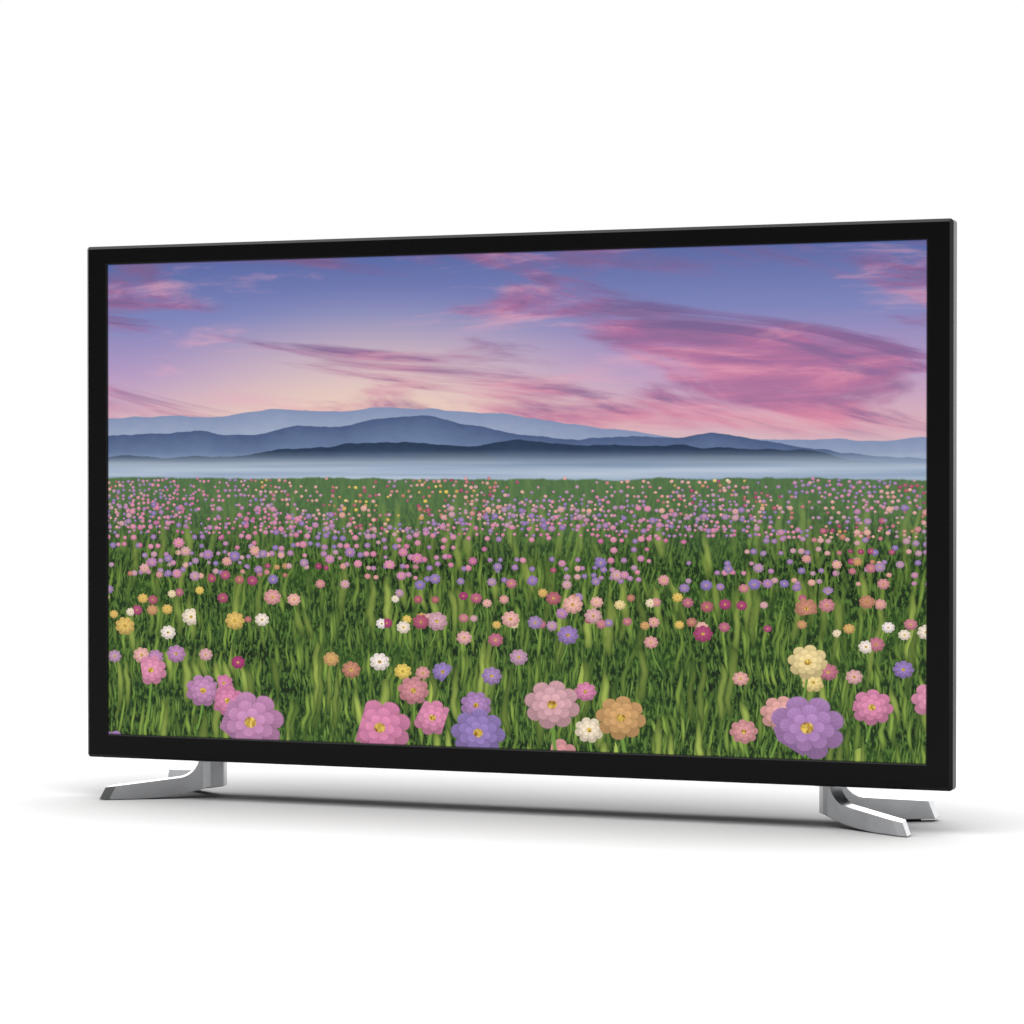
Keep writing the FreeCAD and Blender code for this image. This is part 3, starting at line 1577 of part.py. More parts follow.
def foot_right():
    body = document.addObject("PartDesign::Body", "FootRight")
    blade(
        body, "front_blade", front_arm, True, size.frontArmLength, size.frontTipHeight, size.frontTipLean,
        size.frontTopTurn, size.frontPostSide, size.frontSole, size.frontArmFlat,
    )
    blade(
        body, "rear_blade", rear_arm, False, size.rearArmLength, size.rearTipHeight, size.rearTipLean,
        size.rearTopTurn, size.rearPostSide, size.rearSole, size.rearArmFlat,
    )
    plan = new_sketch(body, "nose_plan", "XY_Plane", (0, 0, size.heelHeight))
    inner_front = arm_point(*front_arm, size.noseReach, size.bladeThick)
    inner_back = arm_point(*rear_arm, size.noseReach, -size.bladeThick)
    outline(plan, [
        (nose_x, nose_y),
        arm_point(*front_arm, size.noseReach, 0),
        inner_front,
        inner_back,
        arm_point(*rear_arm, size.noseReach, 0),
        nose_back,
        nose_corner,
    ])
    pad(body, "nose", plan, post_top - size.heelHeight)
    cap_low = post_top - size.capOverlap
    cap = new_sketch(body, "cap_plan", "XY_Plane", (0, 0, cap_low))
    rectangle(cap, *cap_x, cap_front, cap_back)
    pad(body, "cap", cap, foot_plate_low - cap_low + size.footPlateThick / 2)
    plate = new_sketch(body, "plate_plan", "XY_Plane", (0, 0, foot_plate_low))
    rectangle(plate, *plate_x, cap_front, cap_back)
    pad(body, "plate", plate, size.footPlateThick)
    tenon = new_sketch(body, "tenon_plan", "XY_Plane", (0, 0, foot_plate_low))
    rectangle(tenon, *tenon_x, *tenon_y)
    pad(body, "tenon", tenon, size.footPlateThick + size.tenonTall)
    holes = new_sketch(body, "foot_hole_places", "XY_Plane", (0, 0, bulge_low + past))
    hole_places = [(x, foot_screw_depth) for x in foot_screw_places]
    circles(holes, hole_places, size.footScrewRadius + size.footScrewGap)
    pocket(body, "foot_holes", holes, size.footPlateThick + 2 * past)
    bevel_edges(body, "nose_bevel", size.noseBevel, upright_at((nose_x, nose_y)))
    round_edges(body, "nose_rounds", size.noseRound, upright_at(nose_corner, nose_back))
    round_edges(body, "hollow_rounds", size.noseRound, upright_at(inner_front, inner_back))
    tip_x, tip_y = arm_point(*front_arm, size.frontArmLength - size.frontTipLean / 2, 0)
    tip = bevel_edges(body, "tip_bevel", size.tipBevel, lambda edge: (
        math.dist((edge.BoundBox.Center.x, edge.BoundBox.Center.y), (tip_x.value, tip_y.value)) < past
        and edge.BoundBox.ZLength > past
    ))
    tip.ChamferType = "Two distances"
    bind(tip, "Size2", size.tipBevelLong)
    return body


def foot_pad(name, arm, across, flat, tall):
    """A rubber strip under an arm."""
    x, y = arm_point(*arm, flat + size.padStart, across)
    turn = arm[2]
    thing = document.addObject("Part::Box", name)
    upright = FreeCAD.Vector(0, 0, 1)
    thing.Placement = FreeCAD.Placement(FreeCAD.Vector(), FreeCAD.Rotation(upright, turn.value))
    bind(thing, "Placement.Rotation.Angle", turn)
    bind(thing, "Length", size.padLength)
    bind(thing, "Width", size.padWide)
    bind(thing, "Height", tall)
    place(thing, x, y, 0)
    return thing


def foot_bracket(side, word):
    """An angle with two ribs that carries a foot's tenon and screws from the tray."""
    low = bulge_floor
    thick = size.bracketThick
    back = cap_back + size.bracketProud
    wide = span(side, *plate_x)
    shelf = box(f"bracket_shelf_{word}", wide, (tray_back, back), (low, low + thick))
    upright = box(
        f"bracket_upright_{word}", wide, (tray_back, tray_back + thick), (low, low + size.bracketTall)
    )
    rib_starts = (plate_x[0] + size.bracketRibInset, plate_x[1] - size.bracketRibInset - thick)
    ribs = [
        box(
            f"bracket_rib_{word}_{index}", span(side, near, near + thick),
            (tray_back, back - size.bracketRibShort), (low, low + size.tenonTall + size.bracketRibOver),
        )
        for index, near in enumerate(rib_starts)
    ]
    whole = joined(f"bracket_whole_{word}", [shelf, upright] + ribs)
    threads = [
        rod(
            f"bracket_thread_{word}_{index}", "z", size.footScrewRadius + size.footThreadGap,
            (side * x, foot_screw_depth, low - past), thick + 2 * past,
        )
        for index, x in enumerate(foot_screw_places)
    ]
    openings = [tenon_room(f"bracket_tenon_{word}", side, low - past, low + thick + past)] + threads
    node(f"foot_bracket_{word}", cut(f"FootBracket{word}", whole, openings))


def foot_screws(side, word):
    """Two socket screws that hold a foot from below."""
    base = foot_plate_low - size.footScrewHeadTall
    screws = []
    for index, place_x in enumerate(foot_screw_places):
        x = side * place_x
        name = f"foot_screw_{word}_{index}"
        start = (x, foot_screw_depth, base)
        head = rod(f"{name}_head", "z", size.footScrewHead, start, size.footScrewHeadTall)
        whole_length = size.footScrewHeadTall + size.footScrewLength
        shank = rod(f"{name}_shank", "z", size.footScrewRadius, start, whole_length)
        socket = rod(
            f"{name}_socket", "z", size.footScrewSocket, (x, foot_screw_depth, base - past),
            size.footScrewSocketDeep + past,
        )
        screws.append(cut(name, joined(f"{name}_solid", [head, shank]), [socket]))
    node(f"foot_screws_{word}", group(f"FootScrews{word}", screws))


def feet():
    right = foot_right()
    node("foot_right", right)
    node("foot_left", mirrored("FootLeft", right))
    beside = (size.bladeThick - size.padWide) / 2
    front_pad = foot_pad("front_pad", front_arm, beside, size.frontArmFlat, size.frontSole)
    rear_pad = foot_pad("rear_pad", rear_arm, -(beside + size.padWide), size.rearArmFlat, size.rearSole)
    pads = node("foot_pads_right", group("FootPadsRight", [front_pad, rear_pad]))
    node("foot_pads_left", mirrored("FootPadsLeft", pads))
    for side, word in sides:
        foot_bracket(side, word)
        foot_screws(side, word)


# The control stick: a cap that presses in on a lever, which tips in a ring, which tips in a housing.

stick_x = -size.stickAside
stick_z = bulge_low + size.stickRise
pivot = cover_back - size.pivotIn
housing_front = cover_inside - size.housingDeep


def square_around_stick(name, half, low, high):
    return box(name, (stick_x - half, stick_x + half), (low, high), (stick_z - half, stick_z + half))


def stick_housing():
    half = size.housingSide / 2
    pin_room = size.pinRadius + size.pinGap
    square = square_around_stick("housing_square", half, housing_front, cover_inside)
    bore = rod(
        "housing_bore", "y", size.housingBore,
        (stick_x, housing_front - past, stick_z), size.housingDeep + 2 * past,
    )
    pin_bore = rod(
        "housing_pin_bore", "x", pin_room, (stick_x - half + size.pinSkin, pivot, stick_z),
        size.housingSide - 2 * size.pinSkin,
    )
    node("jog_housing", cut("JogHousing", square, [joined("housing_bores", [bore, pin_bore])]))
    plate = square_around_stick("stick_plate", half, housing_front - size.stickBoardThick, housing_front)
    switch = square_around_stick(
        "stick_switch", size.switchSide / 2, housing_front, housing_front + size.switchTall
    )
    node("jog_board", joined("JogBoard", [plate, switch]))


def stick_ring():
    half = size.ringThick / 2
    start = stick_x - size.housingSide / 2 + size.pinSkin + size.pinEndGap
    disc = rod("ring_disc", "y", size.ringOuter, (stick_x, pivot - half, stick_z), size.ringThick)
    pins = rod("ring_pins", "x", size.pinRadius, (start, pivot, stick_z), 2 * (stick_x - start))
    hole = rod(
        "ring_hole", "y", size.ringInner, (stick_x, pivot - half - past, stick_z), size.ringThick + 2 * past
    )
    bore = rod(
        "ring_pin_bore", "z", size.pinRadius + size.pinGap, (stick_x, pivot, stick_z - size.ringOuter - past),
        2 * (size.ringOuter + past),
    )
    openings = joined("ring_openings", [hole, bore])
    node("jog_ring", cut("JogRing", joined("ring_solid", [disc, pins]), [openings]))


def stick_lever():
    half = size.hubThick / 2
    reach = size.ringOuter - size.hubPinShort
    hub = rod("lever_hub", "y", size.hubRadius, (stick_x, pivot - half, stick_z), size.hubThick)
    pins = rod("lever_pins", "z", size.pinRadius, (stick_x, pivot, stick_z - reach), 2 * reach)
    stem = rod("lever_stem", "y", size.stemRadius, (stick_x, pivot, stick_z), size.pivotIn - size.stemIn)
    tail = rod("lever_tail", "y", size.tailRadius, (stick_x, pivot - half - size.tailLength, stick_z), half)
    node("jog_lever", joined("JogLever", [hub, pins, stem, tail]))


def stick_cap():
    top = cover_back + size.capProud
    skirt = top - size.capSkirt
    whole = rod("cap_solid", "y", size.capRadius, (stick_x, skirt, stick_z), size.capSkirt)
    soft = rounded("cap_soft", whole, size.capRound, lambda edge: (
        abs(edge.BoundBox.YMin - top.value) < 1e-4 and edge.BoundBox.YLength < 1e-4
    ))
    bore = rod(
        "cap_bore", "y", size.stemRadius + size.pinGap, (stick_x, skirt - past, stick_z),
        size.capSkirt + past - size.capSkin,
    )
    node("jog_cap", cut("JogCap", soft, [bore]))


front_bezel()
panel()
backlight()
boards()
main_board_parts()
power_board_parts()
small_boards()
sockets()
panel_driver()
speakers()
leads()
display_ribbon()
rear_cover()
wall_mount()
cover_screws()
feet()
stick_housing()
stick_ring()
stick_lever()
stick_cap()

document.recompute()
for thing in document.Objects:
    for state in ("Invalid", "Error"):
        if state in thing.State:
            raise RuntimeError(f"{thing.Name} is {state}")
os.makedirs("parts", exist_ok=True)
for thing in nodes:
    if thing.Shape.isNull() or not thing.Shape.isValid() or not thing.Shape.Solids:
        raise RuntimeError(f"{thing.Label} has no valid shape")
for thing in nodes:
    thing.Shape.exportStep(f"parts/{thing.Label}.step")
    print(thing.Label, len(thing.Shape.Solids), round(thing.Shape.Volume / 1000, 2), "cm3")
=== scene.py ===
import json
import math

import bpy
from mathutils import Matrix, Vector


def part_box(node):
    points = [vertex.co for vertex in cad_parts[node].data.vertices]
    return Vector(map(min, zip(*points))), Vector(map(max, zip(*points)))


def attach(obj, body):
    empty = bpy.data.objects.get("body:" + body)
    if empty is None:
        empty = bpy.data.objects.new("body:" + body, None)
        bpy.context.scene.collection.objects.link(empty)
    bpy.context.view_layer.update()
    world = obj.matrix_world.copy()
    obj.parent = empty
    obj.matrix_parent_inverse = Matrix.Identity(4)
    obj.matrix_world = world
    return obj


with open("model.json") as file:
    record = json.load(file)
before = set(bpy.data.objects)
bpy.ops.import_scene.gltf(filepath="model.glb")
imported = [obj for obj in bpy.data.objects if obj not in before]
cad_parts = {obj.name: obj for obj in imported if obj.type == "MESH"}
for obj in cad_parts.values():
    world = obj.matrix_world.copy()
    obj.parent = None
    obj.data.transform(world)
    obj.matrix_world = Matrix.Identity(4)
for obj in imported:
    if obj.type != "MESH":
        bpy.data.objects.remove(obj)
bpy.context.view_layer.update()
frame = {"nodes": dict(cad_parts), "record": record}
nodes = frame["nodes"]
scene = bpy.context.scene
for leftover in ("Cube", "Light", "Camera"):
    if leftover in bpy.data.objects:
        bpy.data.objects.remove(bpy.data.objects[leftover])
print("frame loaded:", len(nodes), "pieces")


# The camera stands where the photograph's did.
viewer = {
    "place": (0.8776, -2.1891, 0.2681),
    "level": 90.0,  # degrees from straight down to the horizon
    "turn": 21.799,  # degrees to the left of straight ahead
    "tilt": -0.700,
    "roll": 0.012,
    "lens": 103.30,  # mm
    "sensor": 36.0,
}


def placeCamera():
    data = bpy.data.cameras.new("viewer")
    data.sensor_width = viewer["sensor"]
    data.lens = viewer["lens"]
    camera = bpy.data.objects.new("viewer", data)
    camera.location = viewer["place"]
    camera.rotation_euler = (
        math.radians(viewer["level"] + viewer["tilt"]),
        math.radians(viewer["roll"]),
        math.radians(viewer["turn"]),
    )
    scene.collection.objects.link(camera)
    scene.camera = camera


placeCamera()
print("camera placed")


white = (1.0, 1.0, 1.0, 1.0)
black = (0.0, 0.0, 0.0, 1.0)


# Colours are written as they look on a screen, and turned into light here.
def tone(code):
    parts = [int(code[i:i + 2], 16) / 255 for i in (0, 2, 4)]
    return tuple(p / 12.92 if p <= 0.04045 else ((p + 0.055) / 1.055) ** 2.4 for p in parts) + (1.0,)


# A tree of nodes, and the few steps that all of them use.
class Nodes:
    def __init__(self, tree):
        self.tree = tree

    def feed(self, socket, value):
        if isinstance(value, bpy.types.NodeSocket):
            self.tree.links.new(value, socket)
        else:
            socket.default_value = value

    def fill(self, node, values):
        for name, value in values.items():
            self.feed(node.inputs[name], value)

    def calc(self, kind, *values):
        node = self.tree.nodes.new("ShaderNodeMath")
        node.operation = kind
        for socket, value in zip(node.inputs, values):
            self.feed(socket, value)
        return node.outputs[0]

    def plus(self, first, second):
        return self.calc("ADD", first, second)

    def minus(self, first, second):
        return self.calc("SUBTRACT", first, second)

    def times(self, first, second):
        return self.calc("MULTIPLY", first, second)

    def over(self, first, second):
        return self.calc("DIVIDE", first, second)

    def scaled(self, value, factor, offset):
        return self.calc("MULTIPLY_ADD", value, factor, offset)

    def blend(self, first, firstShare, second, secondShare):
        return self.scaled(first, firstShare, self.times(second, secondShare))

    def span(self, first, second):
        return self.calc("SQRT", self.plus(self.times(first, first), self.times(second, second)))

    def split(self, vector):
        node = self.tree.nodes.new("ShaderNodeSeparateXYZ")
        self.feed(node.inputs[0], vector)
        return node.outputs[0], node.outputs[1], node.outputs[2]

    def point(self, x, y, z=0.0):
        node = self.tree.nodes.new("ShaderNodeCombineXYZ")
        for socket, value in zip(node.inputs, (x, y, z)):
            self.feed(socket, value)
        return node.outputs[0]

    def grid(self, x, y, stretch):
        return self.point(self.times(x, stretch[0]), self.times(y, stretch[1]))

    def ease(self, low, high, value, bottom=0.0, top=1.0):
        node = self.tree.nodes.new("ShaderNodeMapRange")
        node.interpolation_type = "SMOOTHSTEP"
        self.fill(node, {"Value": value, "From Min": low, "From Max": high, "To Min": bottom, "To Max": top})
        return node.outputs[0]


# One finish: a material with its shader.
class Finish(Nodes):
    def __init__(self, name):
        self.material = bpy.data.materials.new(name)
        self.material.use_nodes = True
        super().__init__(self.material.node_tree)
        self.shader = self.tree.nodes["Principled BSDF"]
        self.place = self.tree.nodes.new("ShaderNodeTexCoord").outputs["Object"]

    def stretched(self, vector, scale):
        node = self.tree.nodes.new("ShaderNodeMapping")
        self.fill(node, {"Vector": vector, "Scale": scale})
        return node.outputs[0]

    def mix(self, share, first, second, kind="MIX"):
        node = self.tree.nodes.new("ShaderNodeMix")
        node.data_type = "RGBA"
        node.blend_type = kind
        self.feed(node.inputs[0], share)
        self.feed(node.inputs[6], first)
        self.feed(node.inputs[7], second)
        return node.outputs[2]

    # a colour made darker or lighter by one value
    def shaded(self, colour, light):
        return self.mix(1.0, colour, self.point(light, light, light), "MULTIPLY")

    def noise(self, vector, scale, detail=3.0, rough=0.5, twist=0.0):
        node = self.tree.nodes.new("ShaderNodeTexNoise")
        self.fill(node, {"Vector": vector, "Scale": scale, "Detail": detail, "Roughness": rough,
                         "Distortion": twist})
        return node.outputs[0]

    def line(self, along, detail, rough):
        node = self.tree.nodes.new("ShaderNodeTexNoise")
        node.noise_dimensions = "1D"
        self.fill(node, {"W": along, "Scale": 1.0, "Detail": detail, "Roughness": rough})
        return node.outputs[0]

    def cells(self, vector, dimensions, scale, random=1.0):
        node = self.tree.nodes.new("ShaderNodeTexVoronoi")
        node.voronoi_dimensions = dimensions
        self.fill(node, {"Vector": vector, "Scale": scale, "Randomness": random})
        return node.outputs

    def ramp(self, value, *stops):
        node = self.tree.nodes.new("ShaderNodeValToRGB")
        bar = node.color_ramp
        while len(bar.elements) < len(stops):
            bar.elements.new(0.5)
        for stop, (position, colour) in zip(bar.elements, stops):
            stop.position = position
            stop.color = tone(colour)
        self.feed(node.inputs[0], value)
        return node.outputs[0]

    # roughness round a middle value; each noise swings it by its own share
    def roughness(self, middle, *swings):
        rough = middle - sum(swing for value, swing in swings) / 2
        for value, swing in swings:
            rough = self.scaled(value, swing, rough)
        return rough

    def bump(self, height, depth, under=None):
        node = self.tree.nodes.new("ShaderNodeBump")
        self.fill(node, {"Strength": 1.0, "Distance": depth, "Height": height})
        if under is not None:
            self.feed(node.inputs["Normal"], under)
        return node.outputs[0]

    def set(self, **values):
        names = {
            "colour": "Base Color", "rough": "Roughness", "metal": "Metallic", "shine": "Specular IOR Level",
            "normal": "Normal", "glow": "Emission Color", "glowPower": "Emission Strength",
            "through": "Transmission Weight",
        }
        self.fill(self.shader, {names[key]: value for key, value in values.items()})


# The lit picture is a generic evening meadow, drawn by its nodes on one flat face.
# Its places are given in picture heights: across from the left edge and up from the foot.
# Each noise is its scale, detail, roughness and twist, and each mask is where it starts and is full.
sky = {
    "stops": ((0.58, "d9c3c6"), (0.66, "dcb3c0"), (0.76, "b79cc6"), (0.88, "7f86bd"), (1.0, "5a6aa6")),
    "sunAt": (0.62, 0.60),
    "sunTall": 2.1,  # its glow is this much wider than tall
    "sunReach": 0.75,
    "sunShare": 0.9,
    "sunColour": "f6dcc2",
    "slant": (-1.1, 2.6),
    "rows": (1.6, 8.5),
    "bankNoise": (0.9, 8.0, 0.58, 0.7),
    "bankMask": (0.455, 0.60),
    "bankHeight": (0.60, 0.67),
    "bankShare": 0.88,
    "bankStops": ((0.25, "80628f"), (0.45, "b06d9a"), (0.62, "dc84a2"), (0.85, "f0b5aa")),
    "bankLight": (0.9, -0.8, 0.62),  # shares of the veil and of the height, and a base
    "underStep": 0.16,
    "underMask": (0.01, 0.09),
    "underShare": 0.55,
    "underColour": "6c5a8e",
    "veilStretch": (2.4, 15.0),
    "veilNoise": (1.1, 7.0, 0.6, 0.4),
    "wispMask": (0.53, 0.72),
    "wispHeight": (0.62, 0.72),
    "wispShare": 0.5,
    "wispColour": "e7acc0",
}


def paintSky(look, across, up):
    clear = look.ramp(up, *sky["stops"])
    sunAcross, sunUp = sky["sunAt"]
    far = look.span(look.minus(across, sunAcross), look.times(look.minus(up, sunUp), sky["sunTall"]))
    sunShare = look.times(look.ease(sky["sunReach"], 0.0, far), sky["sunShare"])
    clear = look.mix(sunShare, clear, tone(sky["sunColour"]))
    # long slanting banks of cloud, darker underneath
    slant = look.blend(across, sky["slant"][0], up, sky["slant"][1])
    rows = look.blend(across, sky["rows"][0], up, sky["rows"][1])
    banks = look.noise(look.point(slant, rows), *sky["bankNoise"])
    under = look.noise(look.point(slant, look.plus(rows, sky["underStep"])), *sky["bankNoise"])
    veil = look.noise(look.grid(across, up, sky["veilStretch"]), *sky["veilNoise"])
    veilLight, heightLight, base = sky["bankLight"]
    light = look.scaled(veil, veilLight, look.scaled(up, heightLight, base))
    lit = look.ramp(light, *sky["bankStops"])
    shade = look.ease(*sky["underMask"], look.minus(banks, under))
    lit = look.mix(look.times(shade, sky["underShare"]), lit, tone(sky["underColour"]))
    mask = look.times(look.ease(*sky["bankMask"], banks), look.ease(*sky["bankHeight"], up))
    clouded = look.mix(look.times(mask, sky["bankShare"]), clear, lit)
    wisps = look.times(look.ease(*sky["wispMask"], veil), look.ease(*sky["wispHeight"], up))
    return look.mix(look.times(wisps, sky["wispShare"]), clouded, tone(sky["wispColour"]))


hills = {
    "ranges": (
        # seed, foot height, height, wobble, colour at the top, colour at the foot
        (3.1, 0.655, 0.075, 1.9, "8190b4", "a5b0c8"),
        (11.7, 0.625, 0.070, 2.7, "46587f", "6f83a6"),
        (27.3, 0.594, 0.052, 3.6, "24344f", "3e5672"),
    ),
    "ridgeNoise": (6.0, 0.46),  # detail and roughness
    "middle": 0.35,  # each range swells round a middle, moved by its seed
    "middleStep": 0.02,
    "swellMask": (1.25, 0.15),
    "swell": 0.9,
    "edgeMask": (-0.0012, 0.0012),
    "slopeStretch": (30.0, 52.0),
    "slopeNoise": (1.0, 5.0, 0.6),
    "slopeShare": 0.35,
    "fade": 13.0,
    "fadeStops": (0.1, 0.9),
    "hazeMask": (0.605, 0.560),
    "streakStretch": (1.5, 60.0),
    "streakNoise": (1.0, 3.0),
    "streakStops": ((0.3, "8fa3bd"), (0.7, "bcc9da")),
}


def paintHills(look, across, up, behind):
    made = behind
    for seed, foot, height, wobble, top, low in hills["ranges"]:
        shape = look.line(look.scaled(across, wobble, seed), *hills["ridgeNoise"])
        aside = look.calc("ABSOLUTE", look.minus(across, hills["middle"] + seed * hills["middleStep"]))
        swell = look.ease(*hills["swellMask"], aside)
        edge = look.scaled(shape, height, look.scaled(swell, height * hills["swell"], foot - height))
        below = look.minus(edge, up)
        inside = look.ease(*hills["edgeMask"], below)
        slope = look.noise(look.grid(across, up, hills["slopeStretch"]), *hills["slopeNoise"])
        depth = look.blend(below, hills["fade"], slope, hills["slopeShare"])
        body = look.ramp(depth, *zip(hills["fadeStops"], (top, low)))
        made = look.mix(inside, made, body)
    haze = look.ease(*hills["hazeMask"], up)
    streaks = look.noise(look.grid(across, up, hills["streakStretch"]), *hills["streakNoise"])
    return look.mix(haze, made, look.ramp(streaks, *hills["streakStops"]))


meadow = {
    "top": 0.545,
    "edgeWobble": 3.1,
    "edgeNoise": (8.0, 0.65),  # detail and roughness
    "edgeHeight": 0.03,
    "edgeMask": (-0.002, 0.003),
    "nearest": 0.02,
    "tuftStretch": (150.0, 70.0),
    "tuftNoise": (1.0, 3.0, 0.6),
    "tuftMask": (0.46, 0.62),
    "tuftShare": 0.8,
    "tuftColour": "5c7f37",
    "patchStretch": (3.4, 9.0),
    "patchNoise": (1.0, 5.0, 0.6),
    "patchPower": 1.3,
    "patchLevel": 0.42,
    "groundStops": ((0.15, "0b150d"), (0.42, "1d3317"), (0.70, "35561f")),
    "leanStretch": (3.2, 4.0),
    "leanNoise": (1.3, 3.0),
    "leanAside": 0.10,
    "leanAlong": 2.0,
    "bladeMask": (0.55, 0.05),
    "bladeTint": (0.8, 0.2),  # share of the blade's own hue, and a base
    "bladeShown": (0.05, 0.35),
    "bladeNear": (0.55, 0.4),  # blades stand out more nearby
    "blades": (
        # across, up, seed, lowest share shown, darkest, lightest
        (150.0, 22.0, 3.0, 0.25, "25451f", "7d9c46"),
        (84.0, 11.0, 17.0, 0.35, "1f3d1a", "93b04c"),
        (46.0, 6.2, 41.0, 0.50, "234219", "b3c75e"),
    ),
    "farFrom": 0.36,
    "farShare": 0.75,
    "farColour": "5a7a50",
}


# Long pointed cells that lean with a slow noise: blades of grass.
def leaning(look, across, up, wide, tall, seed):
    acrossScale, upScale = meadow["leanStretch"]
    slow = look.point(look.scaled(across, acrossScale, seed), look.times(up, upScale))
    lean = look.noise(slow, *meadow["leanNoise"])
    cell = look.cells(look.point(
        look.blend(across, wide, lean, wide * meadow["leanAside"]),
        look.scaled(up, tall, look.scaled(lean, meadow["leanAlong"], seed))), "2D", 1.0)
    hue, age = look.split(cell["Color"])[:2]
    return look.ease(*meadow["bladeMask"], cell["Distance"]), hue, age


def paintMeadow(look, across, up, behind):
    top = meadow["top"]
    ragged = look.line(look.times(across, meadow["edgeWobble"]), *meadow["edgeNoise"])
    edge = look.scaled(ragged, meadow["edgeHeight"], top - meadow["edgeHeight"] / 2)
    inside = look.ease(*meadow["edgeMask"], look.minus(edge, up))
    near = look.ease(top, meadow["nearest"], up)
    tufts = look.noise(look.grid(across, up, meadow["tuftStretch"]), *meadow["tuftNoise"])
    patches = look.noise(look.grid(across, up, meadow["patchStretch"]), *meadow["patchNoise"])
    ground = look.scaled(look.minus(patches, 0.5), meadow["patchPower"], meadow["patchLevel"])
    grass = look.ramp(ground, *meadow["groundStops"])
    tuftShare = look.times(look.ease(*meadow["tuftMask"], tufts), meadow["tuftShare"])
    grass = look.mix(tuftShare, grass, tone(meadow["tuftColour"]))
    for wide, tall, seed, least, dark, light in meadow["blades"]:
        body, hue, age = leaning(look, across, up, wide, tall, seed)
        tint = look.mix(look.times(body, look.scaled(hue, *meadow["bladeTint"])), tone(dark), tone(light))
        shown = look.times(look.calc("GREATER_THAN", age, least), look.ease(*meadow["bladeShown"], body))
        grass = look.mix(look.times(shown, look.scaled(near, *meadow["bladeNear"])), grass, tint)
    farShare = look.times(look.ease(meadow["farFrom"], top, up), meadow["farShare"])
    grass = look.mix(farShare, grass, tone(meadow["farColour"]))
    return look.mix(inside, behind, grass)


blossoms = {
    "layers": (
        # seed, cells in a height, cell height, radius, lowest, highest, share shown
        (4.0, 84.0, 1.25, 0.34, 0.43, 0.545, 0.80),
        (19.0, 52.0, 0.95, 0.35, 0.34, 0.49, 0.74),
        (37.0, 31.0, 0.80, 0.36, 0.23, 0.41, 0.70),
        (53.0, 18.5, 0.72, 0.38, 0.11, 0.31, 0.68),
        (71.0, 10.8, 0.66, 0.41, -0.05, 0.20, 0.74),
        (97.0, 6.6, 0.62, 0.44, -0.20, 0.11, 0.78),
    ),
    "seedUp": 0.7,
    "random": 0.85,
    # drifts: stretch and offset across, then up
    "thickDrift": (3.1, 0.0, 9.0, 5.0),
    "leadDrift": (2.3, 9.0, 6.0, 0.0),
    "driftNoise": (1.0, 2.0),
    "leadMask": (0.30, 0.70),
    "leadShare": 0.62,
    "pickShare": 0.38,
    "thickMask": (0.36, 0.60),
    "crowd": (0.95, 0.30),
    "stemBend": 0.8,
    "stemMask": (0.035, 0.018),
    "stemColour": "6f9440",
    "flat": 1.22,  # how much wider than tall a head is
    "grown": (0.5, 0.75),  # shares of the radius: what growth adds, and the least
    "rings": (
        # petals, reach, how deep the notches go, brightness, turn
        (4.0, 1.0, 0.26, 0.74, 9.0),
        (4.0, 0.72, 0.22, 0.95, 19.0),
        (3.0, 0.46, 0.20, 1.14, 31.0),
    ),
    "ringMask": (1.0, 0.93),
    "lobePower": 0.45,
    "veins": 9.0,
    "veinDepth": 0.045,
    "inLight": 0.34,
    "topLight": 0.55,
    "darker": 0.24,
    "lobeLight": (0.22, 0.80),
    "petals": ((0.0, "c4689c"), (0.2, "dd92ae"), (0.38, "8d78b6"), (0.54, "e7b0a4"), (0.68, "a53a72"),
               (0.82, "e4c861"), (0.93, "efe3df")),
    "eyeMask": (0.20, 0.14),
    "eyeNoise": (18.0, 2.0),
    "eyeStops": ((0.35, "8a5a1c"), (0.65, "f0cf62")),
}


def drift(look, across, up, stretch):
    acrossScale, acrossStart, upScale, upStart = stretch
    place = look.point(look.scaled(across, acrossScale, acrossStart), look.scaled(up, upScale, upStart))
    return look.noise(place, *blossoms["driftNoise"])


# A round head in three rings of petals, a little wider than it is tall, with an eye in the middle.
def paintHead(look, behind, spot, place, picks, radius):
    x, y = place
    pick, grow, hue = picks
    wide = look.times(y, blossoms["flat"])
    far = look.span(x, wide)
    angle = look.calc("ARCTAN2", wide, x)
    growth, least = blossoms["grown"]
    size = look.scaled(grow, radius * growth, radius * least)
    colour = look.ramp(hue, *blossoms["petals"])
    head = behind
    for petals, reach, notch, bright, spin in blossoms["rings"]:
        turned = look.blend(angle, petals, pick, spin)
        lobes = look.calc("ABSOLUTE", look.calc("COSINE", turned))
        notched = look.scaled(look.calc("POWER", lobes, blossoms["lobePower"]), notch, reach - notch)
        inward = look.over(far, look.times(size, notched))
        veins = look.scaled(look.calc("COSINE", look.times(angle, petals * blossoms["veins"])),
                            blossoms["veinDepth"], 1.0)
        high = look.scaled(y, blossoms["topLight"], bright - blossoms["darker"])
        light = look.times(veins, look.scaled(inward, blossoms["inLight"], high))
        light = look.times(light, look.scaled(look.calc("POWER", lobes, 0.5), *blossoms["lobeLight"]))
        head = look.mix(look.ease(*blossoms["ringMask"], inward), head, look.shaded(colour, light))
    eye = look.ease(*blossoms["eyeMask"], look.over(far, size))
    grains = look.noise(spot, *blossoms["eyeNoise"])
    return look.mix(eye, head, look.ramp(grains, *blossoms["eyeStops"]))


